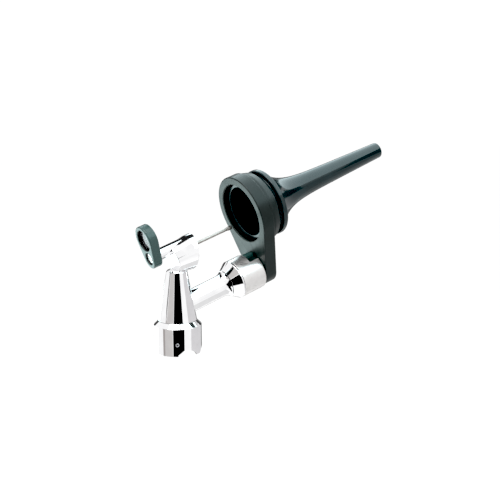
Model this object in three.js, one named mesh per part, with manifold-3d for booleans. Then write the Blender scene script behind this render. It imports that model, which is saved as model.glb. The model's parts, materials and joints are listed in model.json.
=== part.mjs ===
// Operating otoscope head: a chrome head that drops onto a battery handle, with a swinging
// magnifying lens behind it and a swivelling speculum holder in front of it.
// Millimetres, +Z up. The origin is the centre of the skirt's bottom rim. The arm points to +X.

import * as THREE from 'three';
import { mergeVertices } from 'three/addons/utils/BufferGeometryUtils.js';
import Module from 'manifold-3d';

const wasm = await Module();
wasm.setup();

// ---------------------------------------------------------------- driving dimensions

const ROUND = 40; // sides of the large round pieces
const FIT = 0.1; // clearance between a round piece and its hole
const CUT_GAP = 0.3; // gap left where one piece is shaped by its neighbour

// Handle coupling and cone, about the vertical axis.
const SKIRT_RADIUS = 11;
const SKIRT_BORE_RADIUS = 9.6;
const SKIRT_HEIGHT = 12.9;
const SHOULDER_HEIGHT = 14.9;
const CONE_BASE_RADIUS = 8.9;
const CONE_TOP_RADIUS = 4.8;
const CONE_TOP_HEIGHT = 37.6;
const SPIGOT_RADIUS = 6.9;
const SPIGOT_BOTTOM = 12.3;
const LAMP_BORE_RADIUS = 4.7;
const LAMP_BORE_TOP = 26;
const LIGHT_BORE_RADIUS = 2.6;
const LIGHT_BORE_TOP = 35.2;
const BUNDLE_OFFSET = 1.3; // how far in front of the axis the bundle leaves the cone
const BUNDLE_HOLE_START = 30;
const BUNDLE_HOLE_END = 41;
const STUD_HEIGHT = 5.7;
const STUD_RADIUS = 0.9;
const STUD_INNER_END = 8.5;
const STUD_PROUD = 0.1; // how far a stud's head stands out of the skirt
const RIM_CHAMFER = 0.3;

// The tilted arm frame. Its axis crosses the cone's axis at ARM_HEIGHT.
// In it, z runs along the arm, y is the height above the arm's axis and x is sideways.
const ARM_HEIGHT = 20.45;
const ARM_TILT = THREE.MathUtils.degToRad(17.5);
const ARM_RADIUS = 5.1;
const ARM_ROOT = 4;
const ARM_FLARE_START = 24.6;
const ARM_END = 27.1;
const ARM_END_RADIUS = 6.2;
const ARM_BORE_RADIUS = 4.3;
const ARM_BORE_START = 11;

// Barrel on top of the cone: tilted like the arm, but its front is cut upright.
const BARREL_HEIGHT = 22.2;
const BARREL_BACK = 4.6;
const BARREL_FLARE_END = 14;
const BARREL_BLANK_END = 20; // the barrel's length before its front is cut upright
const BARREL_FRONT_X = 7.4;
const BARREL_BACK_RADIUS = 6.5;
const BARREL_FRONT_RADIUS = 7.95;
const BARREL_CHAMFER = 0.4;
const BARREL_WALL = 0.9;
const COVER_THICKNESS = 1.2;
const COVER_PROUD = 0.2; // how far the front cover stands out of the barrel
const BOSS_RADIUS = 2.7; // boss on the barrel's back that carries the lens's pivot
const BOSS_WALL = 0.5;
const BOSS_START = -1.5;
const BOSS_END = 12;

// Light guide: a bundle from the lamp to a thin tube that points at the speculum.
const GUIDE_HEIGHT = 24.4;
const GUIDE_RADIUS = 0.7;
const GUIDE_START = 13.2;
const GUIDE_END = 38.4;
const GUIDE_WALL = 0.25;
const GUIDE_HEAD_LENGTH = 2.4;
const BUNDLE_RADIUS = 1;
const BUNDLE_START = 31.9; // height of the bundle's lower end, above the lamp

// Swivel collar at the arm's end.
const COLLAR_RADIUS = 9.25;
const COLLAR_BEVEL_START = 27.4;
const COLLAR_BEVEL_END = 32.3;
const COLLAR_EDGE = 0.7; // straight edge of the bevelled ring
const COLLAR_RING_BORE = 5.5;
const COLLAR_END = 44.6;
const COLLAR_BORE_RADIUS = 7.6;
const COLLAR_WALL_END = 34.4;
const NOTCH_START = 39.6;
const NOTCH_HALF_ANGLE = THREE.MathUtils.degToRad(42);
const SHAFT_RADIUS = 2.7;
const SHAFT_START = 28.4;
const SHAFT_HEAD_RADIUS = 4.4;
const SHAFT_HEAD_HEIGHT = 1.9;
const SHAFT_HEAD_DEPTH = 3.9; // from the holder's near face to the screw's head
const SHAFT_NUT_START = 28.8;
const SHAFT_NUT_END = 31;
const SHAFT_NUT_CORNER = 4.5;
const WASHER_RADIUS = 4.9;
const WASHER_THICKNESS = 0.4;
const WASHER_DISH = 0.4; // how far the wave washer's rim stands off its middle
const SLOT_WIDTH = 1;
const SLOT_DEPTH = 0.8;
const KEY_WIDTH = 3.6;
const KEY_FOOT = 1.5; // how deep the key sits in the hub
const KEY_TOP_GAP = 0.5; // from the key's top to the collar's outside

// Speculum holder and speculum, about an axis parallel to the arm.
const HOLDER_TURN = THREE.MathUtils.degToRad(1.2); // the holder stands a little off upright
const HOLDER_HEIGHT = 28.7;
const HOLDER_FRONT = 45;
const HOLDER_THICKNESS = 6.2;
const HOLDER_RING_RADIUS = 18.1;
const HOLDER_BORE_RADIUS = 14.25;
const HOLDER_LOBE_RADIUS = 8.6;
const HOLDER_COLLAR_END = 55.7;
const SPIGOT_OUTER_RADIUS = 13.95;
const SPIGOT_INNER_RADIUS = 12.2;
const SPECULUM_BACK = 47.6;
const FLANGE_START = 58.4;
const FLANGE_END = 60.9;
const FLANGE_RADIUS = 16.3;
const SPECULUM_TIP = 131.5;
const SPECULUM_WALL = 0.9;
const ORING_POSITION = 52;
const ORING_RADIUS = 0.6;

// Lens and its frame, which turns about PIVOT_HEIGHT.
const FRAME_BACK = -6;
const FRAME_FRONT = -1.7;
const LENS_HEIGHT = 36.1;
const LENS_APERTURE_RADIUS = 4.9;
const LENS_SEAT_RADIUS = 5.4;
const LENS_SEAT_DEPTH = 1.5; // from the frame's back face to the shoulder behind the lens
const LENS_EDGE_THICKNESS = 1.2;
const LENS_BULGE = 0.7; // how far each face of the lens rises in its middle
const FRAME_UPPER_RADIUS = 6.75;
const PIVOT_HEIGHT = 27.3;
const FRAME_LOWER_RADIUS = 4.75;
const RECESS_RADIUS = 2.8;
const RECESS_DEPTH = 2;
const PIVOT_RADIUS = 1;
const PIVOT_HEAD_RADIUS = 2.5;
const PIVOT_HEAD_HEIGHT = 1.2;
const PIVOT_STACK_RADIUS = 2.1; // washer, bush and nut inside the boss
const PIVOT_WASHER_START = 0.5;
const PIVOT_BUSH_START = 1.9;
const PIVOT_NUT_START = 3.6;
const PIVOT_NUT_END = 5;
const PIVOT_END = 5.2;

// Lamp, pushed up into the cone from below.
const LAMP_BOTTOM = 13;
const LAMP_RADIUS = 4.5;
const LAMP_TOP = 24.8;
const LAMP_FLOOR = 2.2; // from the lamp's bottom to the floor that the bulb stands on
const INSULATOR_RADIUS = 3.4;
const INSULATOR_NECK = 1.8;
const INSULATOR_BORE = 1.2;
const CONTACT_RADIUS = 1.4;
const CONTACT_STEM = 1.1;
const BULB_RADIUS = 2.2;
const BULB_WALL = 0.5;
const BULB_CROWN = 28.5;
const FILAMENT_HEIGHT = 28;
const LEAD_OFFSET = 0.8;
const LEAD_RADIUS = 0.2;
const COIL_RADIUS = 0.35;

// ---------------------------------------------------------------- shaping tools

// Closes a geometry: shared corners are merged, empty triangles go, and the faces point out.
function welded(geometry) {
  const bare = new THREE.BufferGeometry();
  bare.setAttribute('position', geometry.attributes.position);
  if (geometry.index) {
    bare.setIndex(geometry.index);
  }
  const merged = mergeVertices(bare, 1e-4);
  const source = merged.index.array;
  const points = merged.attributes.position;
  const a = new THREE.Vector3();
  const b = new THREE.Vector3();
  const c = new THREE.Vector3();
  const triangles = [];
  let volume = 0;
  for (let i = 0; i < source.length; i += 3) {
    const [p, q, r] = [source[i], source[i + 1], source[i + 2]];
    if (p === q || q === r || r === p) {
      continue;
    }
    triangles.push([p, q, r]);
    a.fromBufferAttribute(points, p);
    b.fromBufferAttribute(points, q);
    c.fromBufferAttribute(points, r);
    volume += a.dot(b.cross(c));
  }
  if (volume < 0) {
    triangles.forEach((triangle) => triangle.reverse());
  }
  merged.setIndex(triangles.flat());
  return merged;
}

// A solid turned about the z axis from [radius, z] points.
function turned(profile, segments = 28) {
  const points = profile.map(([radius, z]) => new THREE.Vector2(radius, z));
  const onAxis = profile[0][0] === 0 && profile[profile.length - 1][0] === 0;
  if (!onAxis) {
    points.push(points[0].clone());
  }
  const geometry = new THREE.LatheGeometry(points, segments);
  geometry.rotateX(Math.PI / 2);
  return welded(geometry);
}

function disc(radius, start, end, segments = 28) {
  return turned([[0, start], [radius, start], [radius, end], [0, end]], segments);
}

function ring(inner, outer, start, end, segments = 28) {
  return turned([[inner, start], [outer, start], [outer, end], [inner, end]], segments);
}

// A prism of an outline in the x-y plane, from z = start to z = end.
function extruded(outline, start, end, curveSegments = 12) {
  const options = { depth: end - start, bevelEnabled: false, curveSegments };
  const geometry = new THREE.ExtrudeGeometry(outline, options);
  geometry.translate(0, 0, start);
  return welded(geometry);
}

// The outline of a belt round two circles whose centres lie on the y axis.
function beltOutline(lowerY, lowerRadius, upperY, upperRadius) {
  const tangent = Math.asin((lowerRadius - upperRadius) / (upperY - lowerY));
  const outline = new THREE.Shape();
  outline.absarc(0, upperY, upperRadius, tangent, Math.PI - tangent, false);
  outline.absarc(0, lowerY, lowerRadius, Math.PI - tangent, 2 * Math.PI + tangent, false);
  outline.closePath();
  return outline;
}

function toManifold(geometry) {
  const vertProperties = Float32Array.from(geometry.attributes.position.array);
  const triVerts = Uint32Array.from(geometry.index.array);
  return new wasm.Manifold(new wasm.Mesh({ numProp: 3, vertProperties, triVerts }));
}

function toGeometry(manifold) {
  const mesh = manifold.getMesh();
  const geometry = new THREE.BufferGeometry();
  geometry.setAttribute('position', new THREE.BufferAttribute(mesh.vertProperties, 3));
  geometry.setIndex(new THREE.BufferAttribute(mesh.triVerts, 1));
  return geometry;
}

function cut(body, ...tools) {
  const result = tools.reduce((left, tool) => left.subtract(toManifold(tool)), toManifold(body));
  return toGeometry(result);
}

function joined(...bodies) {
  const [first, ...others] = bodies.map(toManifold);
  return toGeometry(others.reduce((whole, body) => whole.add(body), first));
}

function raised(geometry, height) {
  return geometry.clone().translate(0, height, 0);
}

function material(color, roughness, metalness, opacity = 1) {
  return new THREE.MeshStandardMaterial({
    color, roughness, metalness, opacity, transparent: opacity < 1,
  });
}

function piece(name, geometry, finish) {
  const mesh = new THREE.Mesh(geometry, finish());
  mesh.name = name;
  return mesh;
}

const chrome = () => material(0xe8e8ea, 0.08, 1);
const satinSteel = () => material(0xd4d2cf, 0.4, 1);
const springSteel = () => material(0x9a9ca0, 0.3, 1);
const brass = () => material(0xb8923c, 0.35, 1);
const blackGreenPlastic = () => material(0x1a2926, 0.45, 0);
const tealPlastic = () => material(0x3f6663, 0.35, 0);
const glossTealPlastic = () => material(0x10262a, 0.15, 0);
const clearGlass = () => material(0xdfe6e8, 0.05, 0, 0.35);
const blackRubber = () => material(0x141414, 0.8, 0);
const ceramic = () => material(0xe9e4d8, 0.7, 0);
const tungsten = () => material(0x6e6a66, 0.4, 1);
const fibreGlass = () => material(0xd9d3bf, 0.5, 0);

// ---------------------------------------------------------------- the arm frame

const along = new THREE.Vector3(Math.cos(ARM_TILT), 0, Math.sin(ARM_TILT));
const upward = new THREE.Vector3(-Math.sin(ARM_TILT), 0, Math.cos(ARM_TILT));
const sideways = new THREE.Vector3(0, 1, 0);
const armMatrix = new THREE.Matrix4().makeBasis(sideways, upward, along);
armMatrix.setPosition(0, 0, ARM_HEIGHT);
const armMatrixInverse = armMatrix.clone().invert();

const inWorld = (geometry) => geometry.clone().applyMatrix4(armMatrix);
const inArm = (geometry) => geometry.clone().applyMatrix4(armMatrixInverse);

// ---------------------------------------------------------------- coupling skirt

// A notch of the bottom rim: x is along the rim and y is the height. Its left side is steep
// and its right side ramps down.
const NOTCH_OUTLINE = [[-4.3, -1], [-4.3, 0.9], [-1.2, 3.4], [2.9, 2.3], [4.5, 0.9], [5.7, -1]];
const NOTCHES = [[-95, 1], [-27, -1], [85, 1]]; // angle in degrees, and -1 for a mirrored notch

function notchCutter([degrees, side]) {
  const corners = NOTCH_OUTLINE.map(([x, y]) => new THREE.Vector2(x * side, y));
  const cutter = extruded(new THREE.Shape(corners), SKIRT_BORE_RADIUS - 2, SKIRT_RADIUS + 2);
  const standing = new THREE.Matrix4().makeBasis(
    new THREE.Vector3(0, 1, 0), new THREE.Vector3(0, 0, 1), new THREE.Vector3(1, 0, 0),
  );
  return welded(cutter.applyMatrix4(standing).rotateZ(THREE.MathUtils.degToRad(degrees)));
}

// A round bar that points outwards from the vertical axis at the studs' height.
function radialBar(radius, start, end, angle) {
  const bar = disc(radius, start, end, 16);
  bar.rotateY(Math.PI / 2).rotateZ(angle).translate(0, 0, STUD_HEIGHT);
  return bar;
}

const studAngles = [-120, 0, 120].map(THREE.MathUtils.degToRad);

function baseSkirt() {
  const ceiling = SPIGOT_BOTTOM - 0.4;
  const shell = turned([
    [SKIRT_BORE_RADIUS, 0], [SKIRT_RADIUS - RIM_CHAMFER, 0], [SKIRT_RADIUS, RIM_CHAMFER],
    [SKIRT_RADIUS, SKIRT_HEIGHT], [CONE_BASE_RADIUS, SHOULDER_HEIGHT],
    [SPIGOT_RADIUS + FIT, SHOULDER_HEIGHT], [SPIGOT_RADIUS + FIT, ceiling],
    [SKIRT_BORE_RADIUS, ceiling],
  ], ROUND);
  const notches = NOTCHES.map(notchCutter);
  const holes = studAngles.map(
    (angle) => radialBar(STUD_RADIUS + FIT, STUD_INNER_END, SKIRT_RADIUS + 1, angle),
  );
  return piece('base_skirt', cut(shell, ...notches, ...holes), chrome);
}

function couplingStud(index) {
  const bar = radialBar(STUD_RADIUS, STUD_INNER_END, SKIRT_RADIUS + STUD_PROUD, studAngles[index]);
  return piece(`coupling_stud_${index + 1}`, bar, springSteel);
}

// ---------------------------------------------------------------- barrel

// The barrel's shape as a solid that widens from its back, grown (or shrunk) by a margin.
function barrelSolid(back, growth) {
  return raised(turned([
    [0, back], [BARREL_BACK_RADIUS - BARREL_CHAMFER + growth, back],
    [BARREL_BACK_RADIUS + growth, back + BARREL_CHAMFER],
    [BARREL_FRONT_RADIUS + growth, BARREL_FLARE_END],
    [BARREL_FRONT_RADIUS + growth, BARREL_BLANK_END], [0, BARREL_BLANK_END],
  ], ROUND), BARREL_HEIGHT);
}

// A block of everything between two upright planes.
function uprightSlab(startX, endX) {
  const size = 60;
  const slab = welded(new THREE.BoxGeometry(endX - startX, size, size));
  return inArm(slab.translate((startX + endX) / 2, 0, ARM_HEIGHT + size / 2));
}

const inFrontOf = (x) => uprightSlab(x, x + 40);
const behindOf = (x) => uprightSlab(x - 40, x);

// The hole that the fibre bundle passes through, upright and a little in front of the axis.
function bundleHole() {
  const hole = disc(BUNDLE_RADIUS + 0.8, BUNDLE_HOLE_START, BUNDLE_HOLE_END, 24);
  return hole.translate(BUNDLE_OFFSET, 0, 0);
}

// Barrel and pivot boss are one casting: open in front, with a blind pocket in the boss.
function headBarrel() {
  const shell = barrelSolid(BARREL_BACK, 0);
  const boss = raised(disc(BOSS_RADIUS, BOSS_START, BOSS_END, 32), PIVOT_HEIGHT);
  const inside = barrelSolid(BARREL_BACK + BARREL_WALL, -BARREL_WALL);
  const pocketRadius = BOSS_RADIUS - BOSS_WALL;
  const pocket = raised(disc(pocketRadius, PIVOT_WASHER_START - FIT, BOSS_END + 1, 32), PIVOT_HEIGHT);
  const pivotHole = raised(disc(PIVOT_RADIUS + FIT, BOSS_START - 1, PIVOT_BUSH_START, 20), PIVOT_HEIGHT);
  const holes = [inside, pocket, pivotHole, inArm(bundleHole())];
  const body = cut(joined(shell, boss), ...holes, inFrontOf(BARREL_FRONT_X));
  return piece('head_barrel', body, chrome);
}

// The upright cover that closes the barrel's front and holds the light guide's tube.
function frontCover() {
  const slug = barrelSolid(BARREL_BACK + 2 * BARREL_WALL, -BARREL_WALL - FIT);
  const front = BARREL_FRONT_X + COVER_PROUD;
  const tubeHole = raised(disc(GUIDE_RADIUS + FIT, BARREL_BACK, GUIDE_END, 20), GUIDE_HEIGHT);
  const body = cut(slug, inFrontOf(front), behindOf(front - COVER_THICKNESS), tubeHole);
  return piece('front_cover', body, chrome);
}

// ---------------------------------------------------------------- light guide

function lightGuideTube() {
  const bore = GUIDE_RADIUS - GUIDE_WALL;
  const head = GUIDE_RADIUS + GUIDE_WALL;
  const headStart = GUIDE_END - GUIDE_HEAD_LENGTH;
  const body = turned([
    [bore, GUIDE_START], [GUIDE_RADIUS, GUIDE_START], [GUIDE_RADIUS, headStart],
    [head, headStart + 0.2], [head, GUIDE_END - 0.2], [head - 0.2, GUIDE_END], [bore, GUIDE_END],
  ], 20);
  return piece('light_guide_tube', raised(body, GUIDE_HEIGHT), satinSteel);
}

function fibreCore() {
  const radius = GUIDE_RADIUS - GUIDE_WALL - FIT / 2;
  const core = disc(radius, GUIDE_START + FIT, GUIDE_END - FIT, 12);
  return piece('fibre_core', raised(core, GUIDE_HEIGHT), clearGlass);
}

// The bundle rises over the lamp and bends forwards into the tube's direction.
function fibreBundle() {
  const onGuide = (z) => new THREE.Vector3(0, GUIDE_HEIGHT, z).applyMatrix4(armMatrix);
  const upright = (x, z) => new THREE.Vector3(x, 0, z);
  const route = new THREE.CatmullRomCurve3([
    upright(0, BUNDLE_START), upright(0, BUNDLE_START + 1.3),
    upright(BUNDLE_OFFSET * 0.7, LIGHT_BORE_TOP - 0.3), upright(BUNDLE_OFFSET, CONE_TOP_HEIGHT - 0.6),
    upright(BUNDLE_OFFSET + 0.1, CONE_TOP_HEIGHT + 4), onGuide(GUIDE_START - 2.5),
    onGuide(GUIDE_START - FIT),
  ]);
  const section = new THREE.Shape();
  section.absarc(0, 0, BUNDLE_RADIUS, 0, 2 * Math.PI, false);
  const options = { extrudePath: route, steps: 18, curveSegments: 5, bevelEnabled: false };
  return piece('fibre_bundle', welded(new THREE.ExtrudeGeometry(section, options)), fibreGlass);
}

// A ring that holds the bundle's lower end over the lamp.
function bundleFerrule() {
  const start = BUNDLE_START + FIT;
  const body = ring(BUNDLE_RADIUS + 0.25, LIGHT_BORE_RADIUS - FIT, start, start + 1.2, 20);
  return piece('bundle_ferrule', body, brass);
}

// ---------------------------------------------------------------- cone and arm tube

function coneBody() {
  const body = turned([
    [LAMP_BORE_RADIUS, SPIGOT_BOTTOM], [SPIGOT_RADIUS, SPIGOT_BOTTOM],
    [SPIGOT_RADIUS, SHOULDER_HEIGHT + FIT], [CONE_BASE_RADIUS, SHOULDER_HEIGHT + FIT],
    [CONE_TOP_RADIUS, CONE_TOP_HEIGHT], [CONE_TOP_RADIUS - 0.6, CONE_TOP_HEIGHT + 0.7],
    [0, CONE_TOP_HEIGHT + 0.7], [0, LIGHT_BORE_TOP], [LIGHT_BORE_RADIUS, LIGHT_BORE_TOP],
    [LIGHT_BORE_RADIUS, LAMP_BORE_TOP + 2.5], [LAMP_BORE_RADIUS, LAMP_BORE_TOP],
  ], ROUND);
  const armHole = inWorld(disc(ARM_RADIUS + CUT_GAP / 2, ARM_ROOT - CUT_GAP, 2 * CONE_BASE_RADIUS));
  const saddle = inWorld(barrelSolid(BARREL_BACK - CUT_GAP, CUT_GAP));
  return piece('cone_body', cut(body, armHole, saddle, bundleHole()), chrome);
}

// A blind tube, closed at its root by the lamp bore's wall, flared at its far end.
function armTube() {
  const body = turned([
    [0, ARM_ROOT], [ARM_RADIUS, ARM_ROOT], [ARM_RADIUS, ARM_FLARE_START],
    [ARM_RADIUS + 0.35, ARM_FLARE_START + 1], [ARM_END_RADIUS, ARM_END],
    [ARM_BORE_RADIUS, ARM_END], [ARM_BORE_RADIUS, ARM_BORE_START], [0, ARM_BORE_START],
  ]);
  const lampBore = inArm(disc(LAMP_BORE_RADIUS + CUT_GAP / 2, 0, CONE_TOP_HEIGHT, ROUND));
  return piece('arm_tube', cut(body, lampBore), chrome);
}

// ---------------------------------------------------------------- swivel

function collarNut() {
  const nut = turned([
    [COLLAR_RING_BORE, COLLAR_BEVEL_START], [ARM_END_RADIUS, COLLAR_BEVEL_START],
    [ARM_END_RADIUS + 0.3, COLLAR_BEVEL_START + 0.3],
    [COLLAR_RADIUS, COLLAR_BEVEL_END - COLLAR_EDGE], [COLLAR_RADIUS, COLLAR_BEVEL_END],
    [COLLAR_RING_BORE, COLLAR_BEVEL_END],
  ], ROUND);
  return piece('collar_nut', nut, chrome);
}

// A sector of a tube, centred on straight up, from z = start to z = end.
function tubeSector(inner, outer, halfAngle, start, end) {
  const outline = new THREE.Shape();
  outline.absarc(0, 0, outer, Math.PI / 2 - halfAngle, Math.PI / 2 + halfAngle, false);
  outline.absarc(0, 0, inner, Math.PI / 2 + halfAngle, Math.PI / 2 - halfAngle, true);
  outline.closePath();
  return extruded(outline, start, end);
}

function swivelCollar() {
  const sleeve = turned([
    [SHAFT_RADIUS + FIT, COLLAR_BEVEL_END + FIT], [COLLAR_RADIUS, COLLAR_BEVEL_END + FIT],
    [COLLAR_RADIUS, COLLAR_END], [COLLAR_BORE_RADIUS, COLLAR_END],
    [COLLAR_BORE_RADIUS, COLLAR_WALL_END], [SHAFT_RADIUS + FIT, COLLAR_WALL_END],
  ], ROUND);
  const inner = COLLAR_BORE_RADIUS - 1;
  const notch = tubeSector(inner, COLLAR_RADIUS + 1, NOTCH_HALF_ANGLE, NOTCH_START, COLLAR_END + 1);
  return piece('swivel_collar', cut(sleeve, notch), satinSteel);
}

// The hub turns in the collar and has a slot for the key on its top.
function holderHub() {
  const start = COLLAR_WALL_END + 0.5;
  const hub = ring(SHAFT_RADIUS + FIT, COLLAR_BORE_RADIUS - FIT, start, HOLDER_FRONT - FIT);
  const [height, length] = [4, 6];
  const slot = welded(new THREE.BoxGeometry(KEY_WIDTH + 2 * FIT, height, length));
  slot.translate(0, COLLAR_BORE_RADIUS - KEY_FOOT - FIT + height / 2, NOTCH_START + 0.5 + length / 2);
  return piece('holder_hub', cut(hub, slot), blackGreenPlastic);
}

function stopKey() {
  const top = COLLAR_RADIUS - KEY_TOP_GAP;
  const height = top - (COLLAR_BORE_RADIUS - KEY_FOOT);
  const end = HOLDER_FRONT - FIT;
  const length = end - (NOTCH_START + 0.6);
  const key = welded(new THREE.BoxGeometry(KEY_WIDTH, height, length));
  key.translate(0, top - height / 2, end - length / 2);
  return piece('stop_key', key, tealPlastic);
}

// A shoulder screw: its slotted head sits in the holder's far side, its nut in the arm's end.
function swivelShaft() {
  const headStart = HOLDER_FRONT + SHAFT_HEAD_DEPTH;
  const headEnd = headStart + SHAFT_HEAD_HEIGHT;
  const body = turned([
    [0, SHAFT_START], [SHAFT_RADIUS - 0.3, SHAFT_START], [SHAFT_RADIUS, SHAFT_START + 0.3],
    [SHAFT_RADIUS, headStart], [SHAFT_HEAD_RADIUS, headStart],
    [SHAFT_HEAD_RADIUS, headEnd - 0.4], [SHAFT_HEAD_RADIUS - 0.4, headEnd], [0, headEnd],
  ], 32);
  const slot = welded(new THREE.BoxGeometry(3 * SHAFT_HEAD_RADIUS, SLOT_WIDTH, 2 * SLOT_DEPTH));
  slot.translate(0, 0, headEnd);
  return piece('swivel_shaft', cut(body, slot), springSteel);
}

function hexagonWithBore(cornerRadius, boreRadius) {
  const corners = [];
  for (let side = 0; side < 6; side += 1) {
    const angle = side * Math.PI / 3;
    corners.push(new THREE.Vector2(Math.cos(angle), Math.sin(angle)).multiplyScalar(cornerRadius));
  }
  const outline = new THREE.Shape(corners);
  const bore = new THREE.Path();
  bore.absarc(0, 0, boreRadius, 0, 2 * Math.PI, true);
  outline.holes.push(bore);
  return outline;
}

function shaftNut() {
  const outline = hexagonWithBore(SHAFT_NUT_CORNER, SHAFT_RADIUS + FIT);
  return piece('shaft_nut', extruded(outline, SHAFT_NUT_START, SHAFT_NUT_END), springSteel);
}

const thrustWasherStart = SHAFT_NUT_END + FIT;
const waveWasherStart = thrustWasherStart + WASHER_THICKNESS + FIT;

function thrustWasher() {
  const end = thrustWasherStart + WASHER_THICKNESS;
  const washer = ring(SHAFT_RADIUS + FIT, WASHER_RADIUS, thrustWasherStart, end);
  return piece('thrust_washer', washer, springSteel);
}

// A dished spring washer between the nut's washer and the collar's wall.
function waveWasher() {
  const inner = SHAFT_RADIUS + FIT;
  const rimStart = waveWasherStart + WASHER_DISH;
  const rimEnd = rimStart + 0.3;
  const washer = turned([
    [inner, waveWasherStart], [inner + 0.5, waveWasherStart], [WASHER_RADIUS, rimStart],
    [WASHER_RADIUS, rimEnd], [WASHER_RADIUS - 0.4, rimEnd], [inner, waveWasherStart + 0.3],
  ]);
  return piece('wave_washer', washer, springSteel);
}

// ---------------------------------------------------------------- speculum holder

function speculumHolder() {
  const outline = beltOutline(0, HOLDER_LOBE_RADIUS, HOLDER_HEIGHT, HOLDER_RING_RADIUS);
  const back = HOLDER_FRONT + HOLDER_THICKNESS;
  const collarRadius = HOLDER_RING_RADIUS - 0.8;
  const plate = extruded(outline, HOLDER_FRONT, back, 16);
  const collar = raised(turned([
    [0, back - 1], [collarRadius, back - 1], [collarRadius, back + 1.6],
    [collarRadius - 0.8, HOLDER_COLLAR_END], [0, HOLDER_COLLAR_END],
  ]), HOLDER_HEIGHT);
  const beyond = HOLDER_COLLAR_END + 1;
  const bore = raised(disc(HOLDER_BORE_RADIUS, HOLDER_FRONT - 1, beyond), HOLDER_HEIGHT);
  const shaftHole = disc(SHAFT_RADIUS + FIT, HOLDER_FRONT - 1, beyond, 32);
  const recessStart = HOLDER_FRONT + SHAFT_HEAD_DEPTH - FIT;
  const headRecess = disc(SHAFT_HEAD_RADIUS + 0.2, recessStart, beyond, 32);
  const body = cut(joined(plate, collar), bore, shaftHole, headRecess);
  return piece('speculum_holder', body, blackGreenPlastic);
}

// ---------------------------------------------------------------- speculum

// A straight taper from flange to tip, with a flare that dies out behind the flange.
const TUBE_RADIUS = 6.15;
const TIP_RADIUS = 3.9;
const FLARE = 8;
const FLARE_LENGTH = 8.3;

function speculumRadius(position) {
  const distance = position - FLANGE_END;
  const taper = (TUBE_RADIUS - TIP_RADIUS) * distance / (SPECULUM_TIP - FLANGE_END);
  return TUBE_RADIUS - taper + FLARE * Math.exp(-((distance / FLARE_LENGTH) ** 1.2));
}

function speculum() {
  const outer = [];
  const inner = [];
  const steps = 9;
  const tipStart = SPECULUM_TIP - 0.4;
  for (let step = 0; step <= steps; step += 1) {
    const position = FLANGE_END + (tipStart - FLANGE_END) * (step / steps) ** 1.5;
    const radius = speculumRadius(position);
    outer.push([radius, position]);
    inner.unshift([radius - SPECULUM_WALL, position]);
  }
  const tip = speculumRadius(tipStart);
  const groove = ORING_RADIUS + FIT;
  const grooveFloor = SPIGOT_OUTER_RADIUS - 2 * ORING_RADIUS;
  const profile = [
    [SPIGOT_INNER_RADIUS, SPECULUM_BACK], [SPIGOT_OUTER_RADIUS - 0.5, SPECULUM_BACK],
    [SPIGOT_OUTER_RADIUS, SPECULUM_BACK + 0.5],
    [SPIGOT_OUTER_RADIUS, ORING_POSITION - groove],
    [grooveFloor, ORING_POSITION - groove], [grooveFloor, ORING_POSITION + groove],
    [SPIGOT_OUTER_RADIUS, ORING_POSITION + groove],
    [SPIGOT_OUTER_RADIUS, FLANGE_START], [FLANGE_RADIUS - 0.3, FLANGE_START],
    [FLANGE_RADIUS, FLANGE_START + 0.3], [FLANGE_RADIUS, FLANGE_END - 0.5],
    [FLANGE_RADIUS - 0.6, FLANGE_END], ...outer,
    [tip - 0.12, SPECULUM_TIP - 0.12], [tip - 0.4, SPECULUM_TIP],
    [tip - SPECULUM_WALL + 0.1, SPECULUM_TIP],
    ...inner, [SPIGOT_INNER_RADIUS, FLANGE_START + SPECULUM_WALL],
  ];
  return piece('speculum', raised(turned(profile, 32), HOLDER_HEIGHT), glossTealPlastic);
}

function retainingOring() {
  const sides = 6;
  const centre = SPIGOT_OUTER_RADIUS - 0.5;
  const profile = [];
  for (let side = 0; side < sides; side += 1) {
    const angle = (side + 0.5) * 2 * Math.PI / sides;
    const radius = centre + ORING_RADIUS * Math.cos(angle);
    profile.push([radius, ORING_POSITION + ORING_RADIUS * Math.sin(angle)]);
  }
  const oring = raised(turned(profile, 32), HOLDER_HEIGHT);
  return piece('retaining_oring', oring, blackRubber);
}

// ---------------------------------------------------------------- lens

function lensFrame() {
  const outline = beltOutline(PIVOT_HEIGHT, FRAME_LOWER_RADIUS, LENS_HEIGHT, FRAME_UPPER_RADIUS);
  const plate = extruded(outline, FRAME_BACK, FRAME_FRONT);
  const [before, beyond] = [FRAME_BACK - 1, FRAME_FRONT + 1];
  const aperture = raised(disc(LENS_APERTURE_RADIUS, before, beyond), LENS_HEIGHT);
  const seat = raised(disc(LENS_SEAT_RADIUS, FRAME_BACK + LENS_SEAT_DEPTH, beyond), LENS_HEIGHT);
  const recessEnd = FRAME_BACK + RECESS_DEPTH;
  const recess = raised(disc(RECESS_RADIUS, before, recessEnd, 32), PIVOT_HEIGHT);
  const pivotHole = raised(disc(PIVOT_RADIUS + FIT, FRAME_BACK, beyond, 20), PIVOT_HEIGHT);
  return piece('lens_frame', cut(plate, aperture, seat, recess, pivotHole), tealPlastic);
}

// A biconvex lens with a straight edge; both faces bulge alike.
function lens() {
  const edge = LENS_SEAT_RADIUS - FIT;
  const back = FRAME_BACK + LENS_SEAT_DEPTH + 0.25;
  const front = back + LENS_EDGE_THICKNESS;
  const steps = 4;
  const backFace = [];
  const frontFace = [];
  for (let step = 0; step <= steps; step += 1) {
    const share = step / steps;
    const rise = LENS_BULGE * (1 - share * share);
    backFace.push([edge * share, back - rise]);
    frontFace.unshift([edge * share, front + rise]);
  }
  const body = raised(turned([...backFace, ...frontFace], 32), LENS_HEIGHT);
  return piece('lens', body, clearGlass);
}

function lensRetainingRing() {
  const edge = LENS_SEAT_RADIUS - FIT;
  const body = raised(ring(edge - 0.8, edge, FRAME_FRONT - 0.9, FRAME_FRONT), LENS_HEIGHT);
  return piece('lens_retaining_ring', body, tealPlastic);
}

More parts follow.
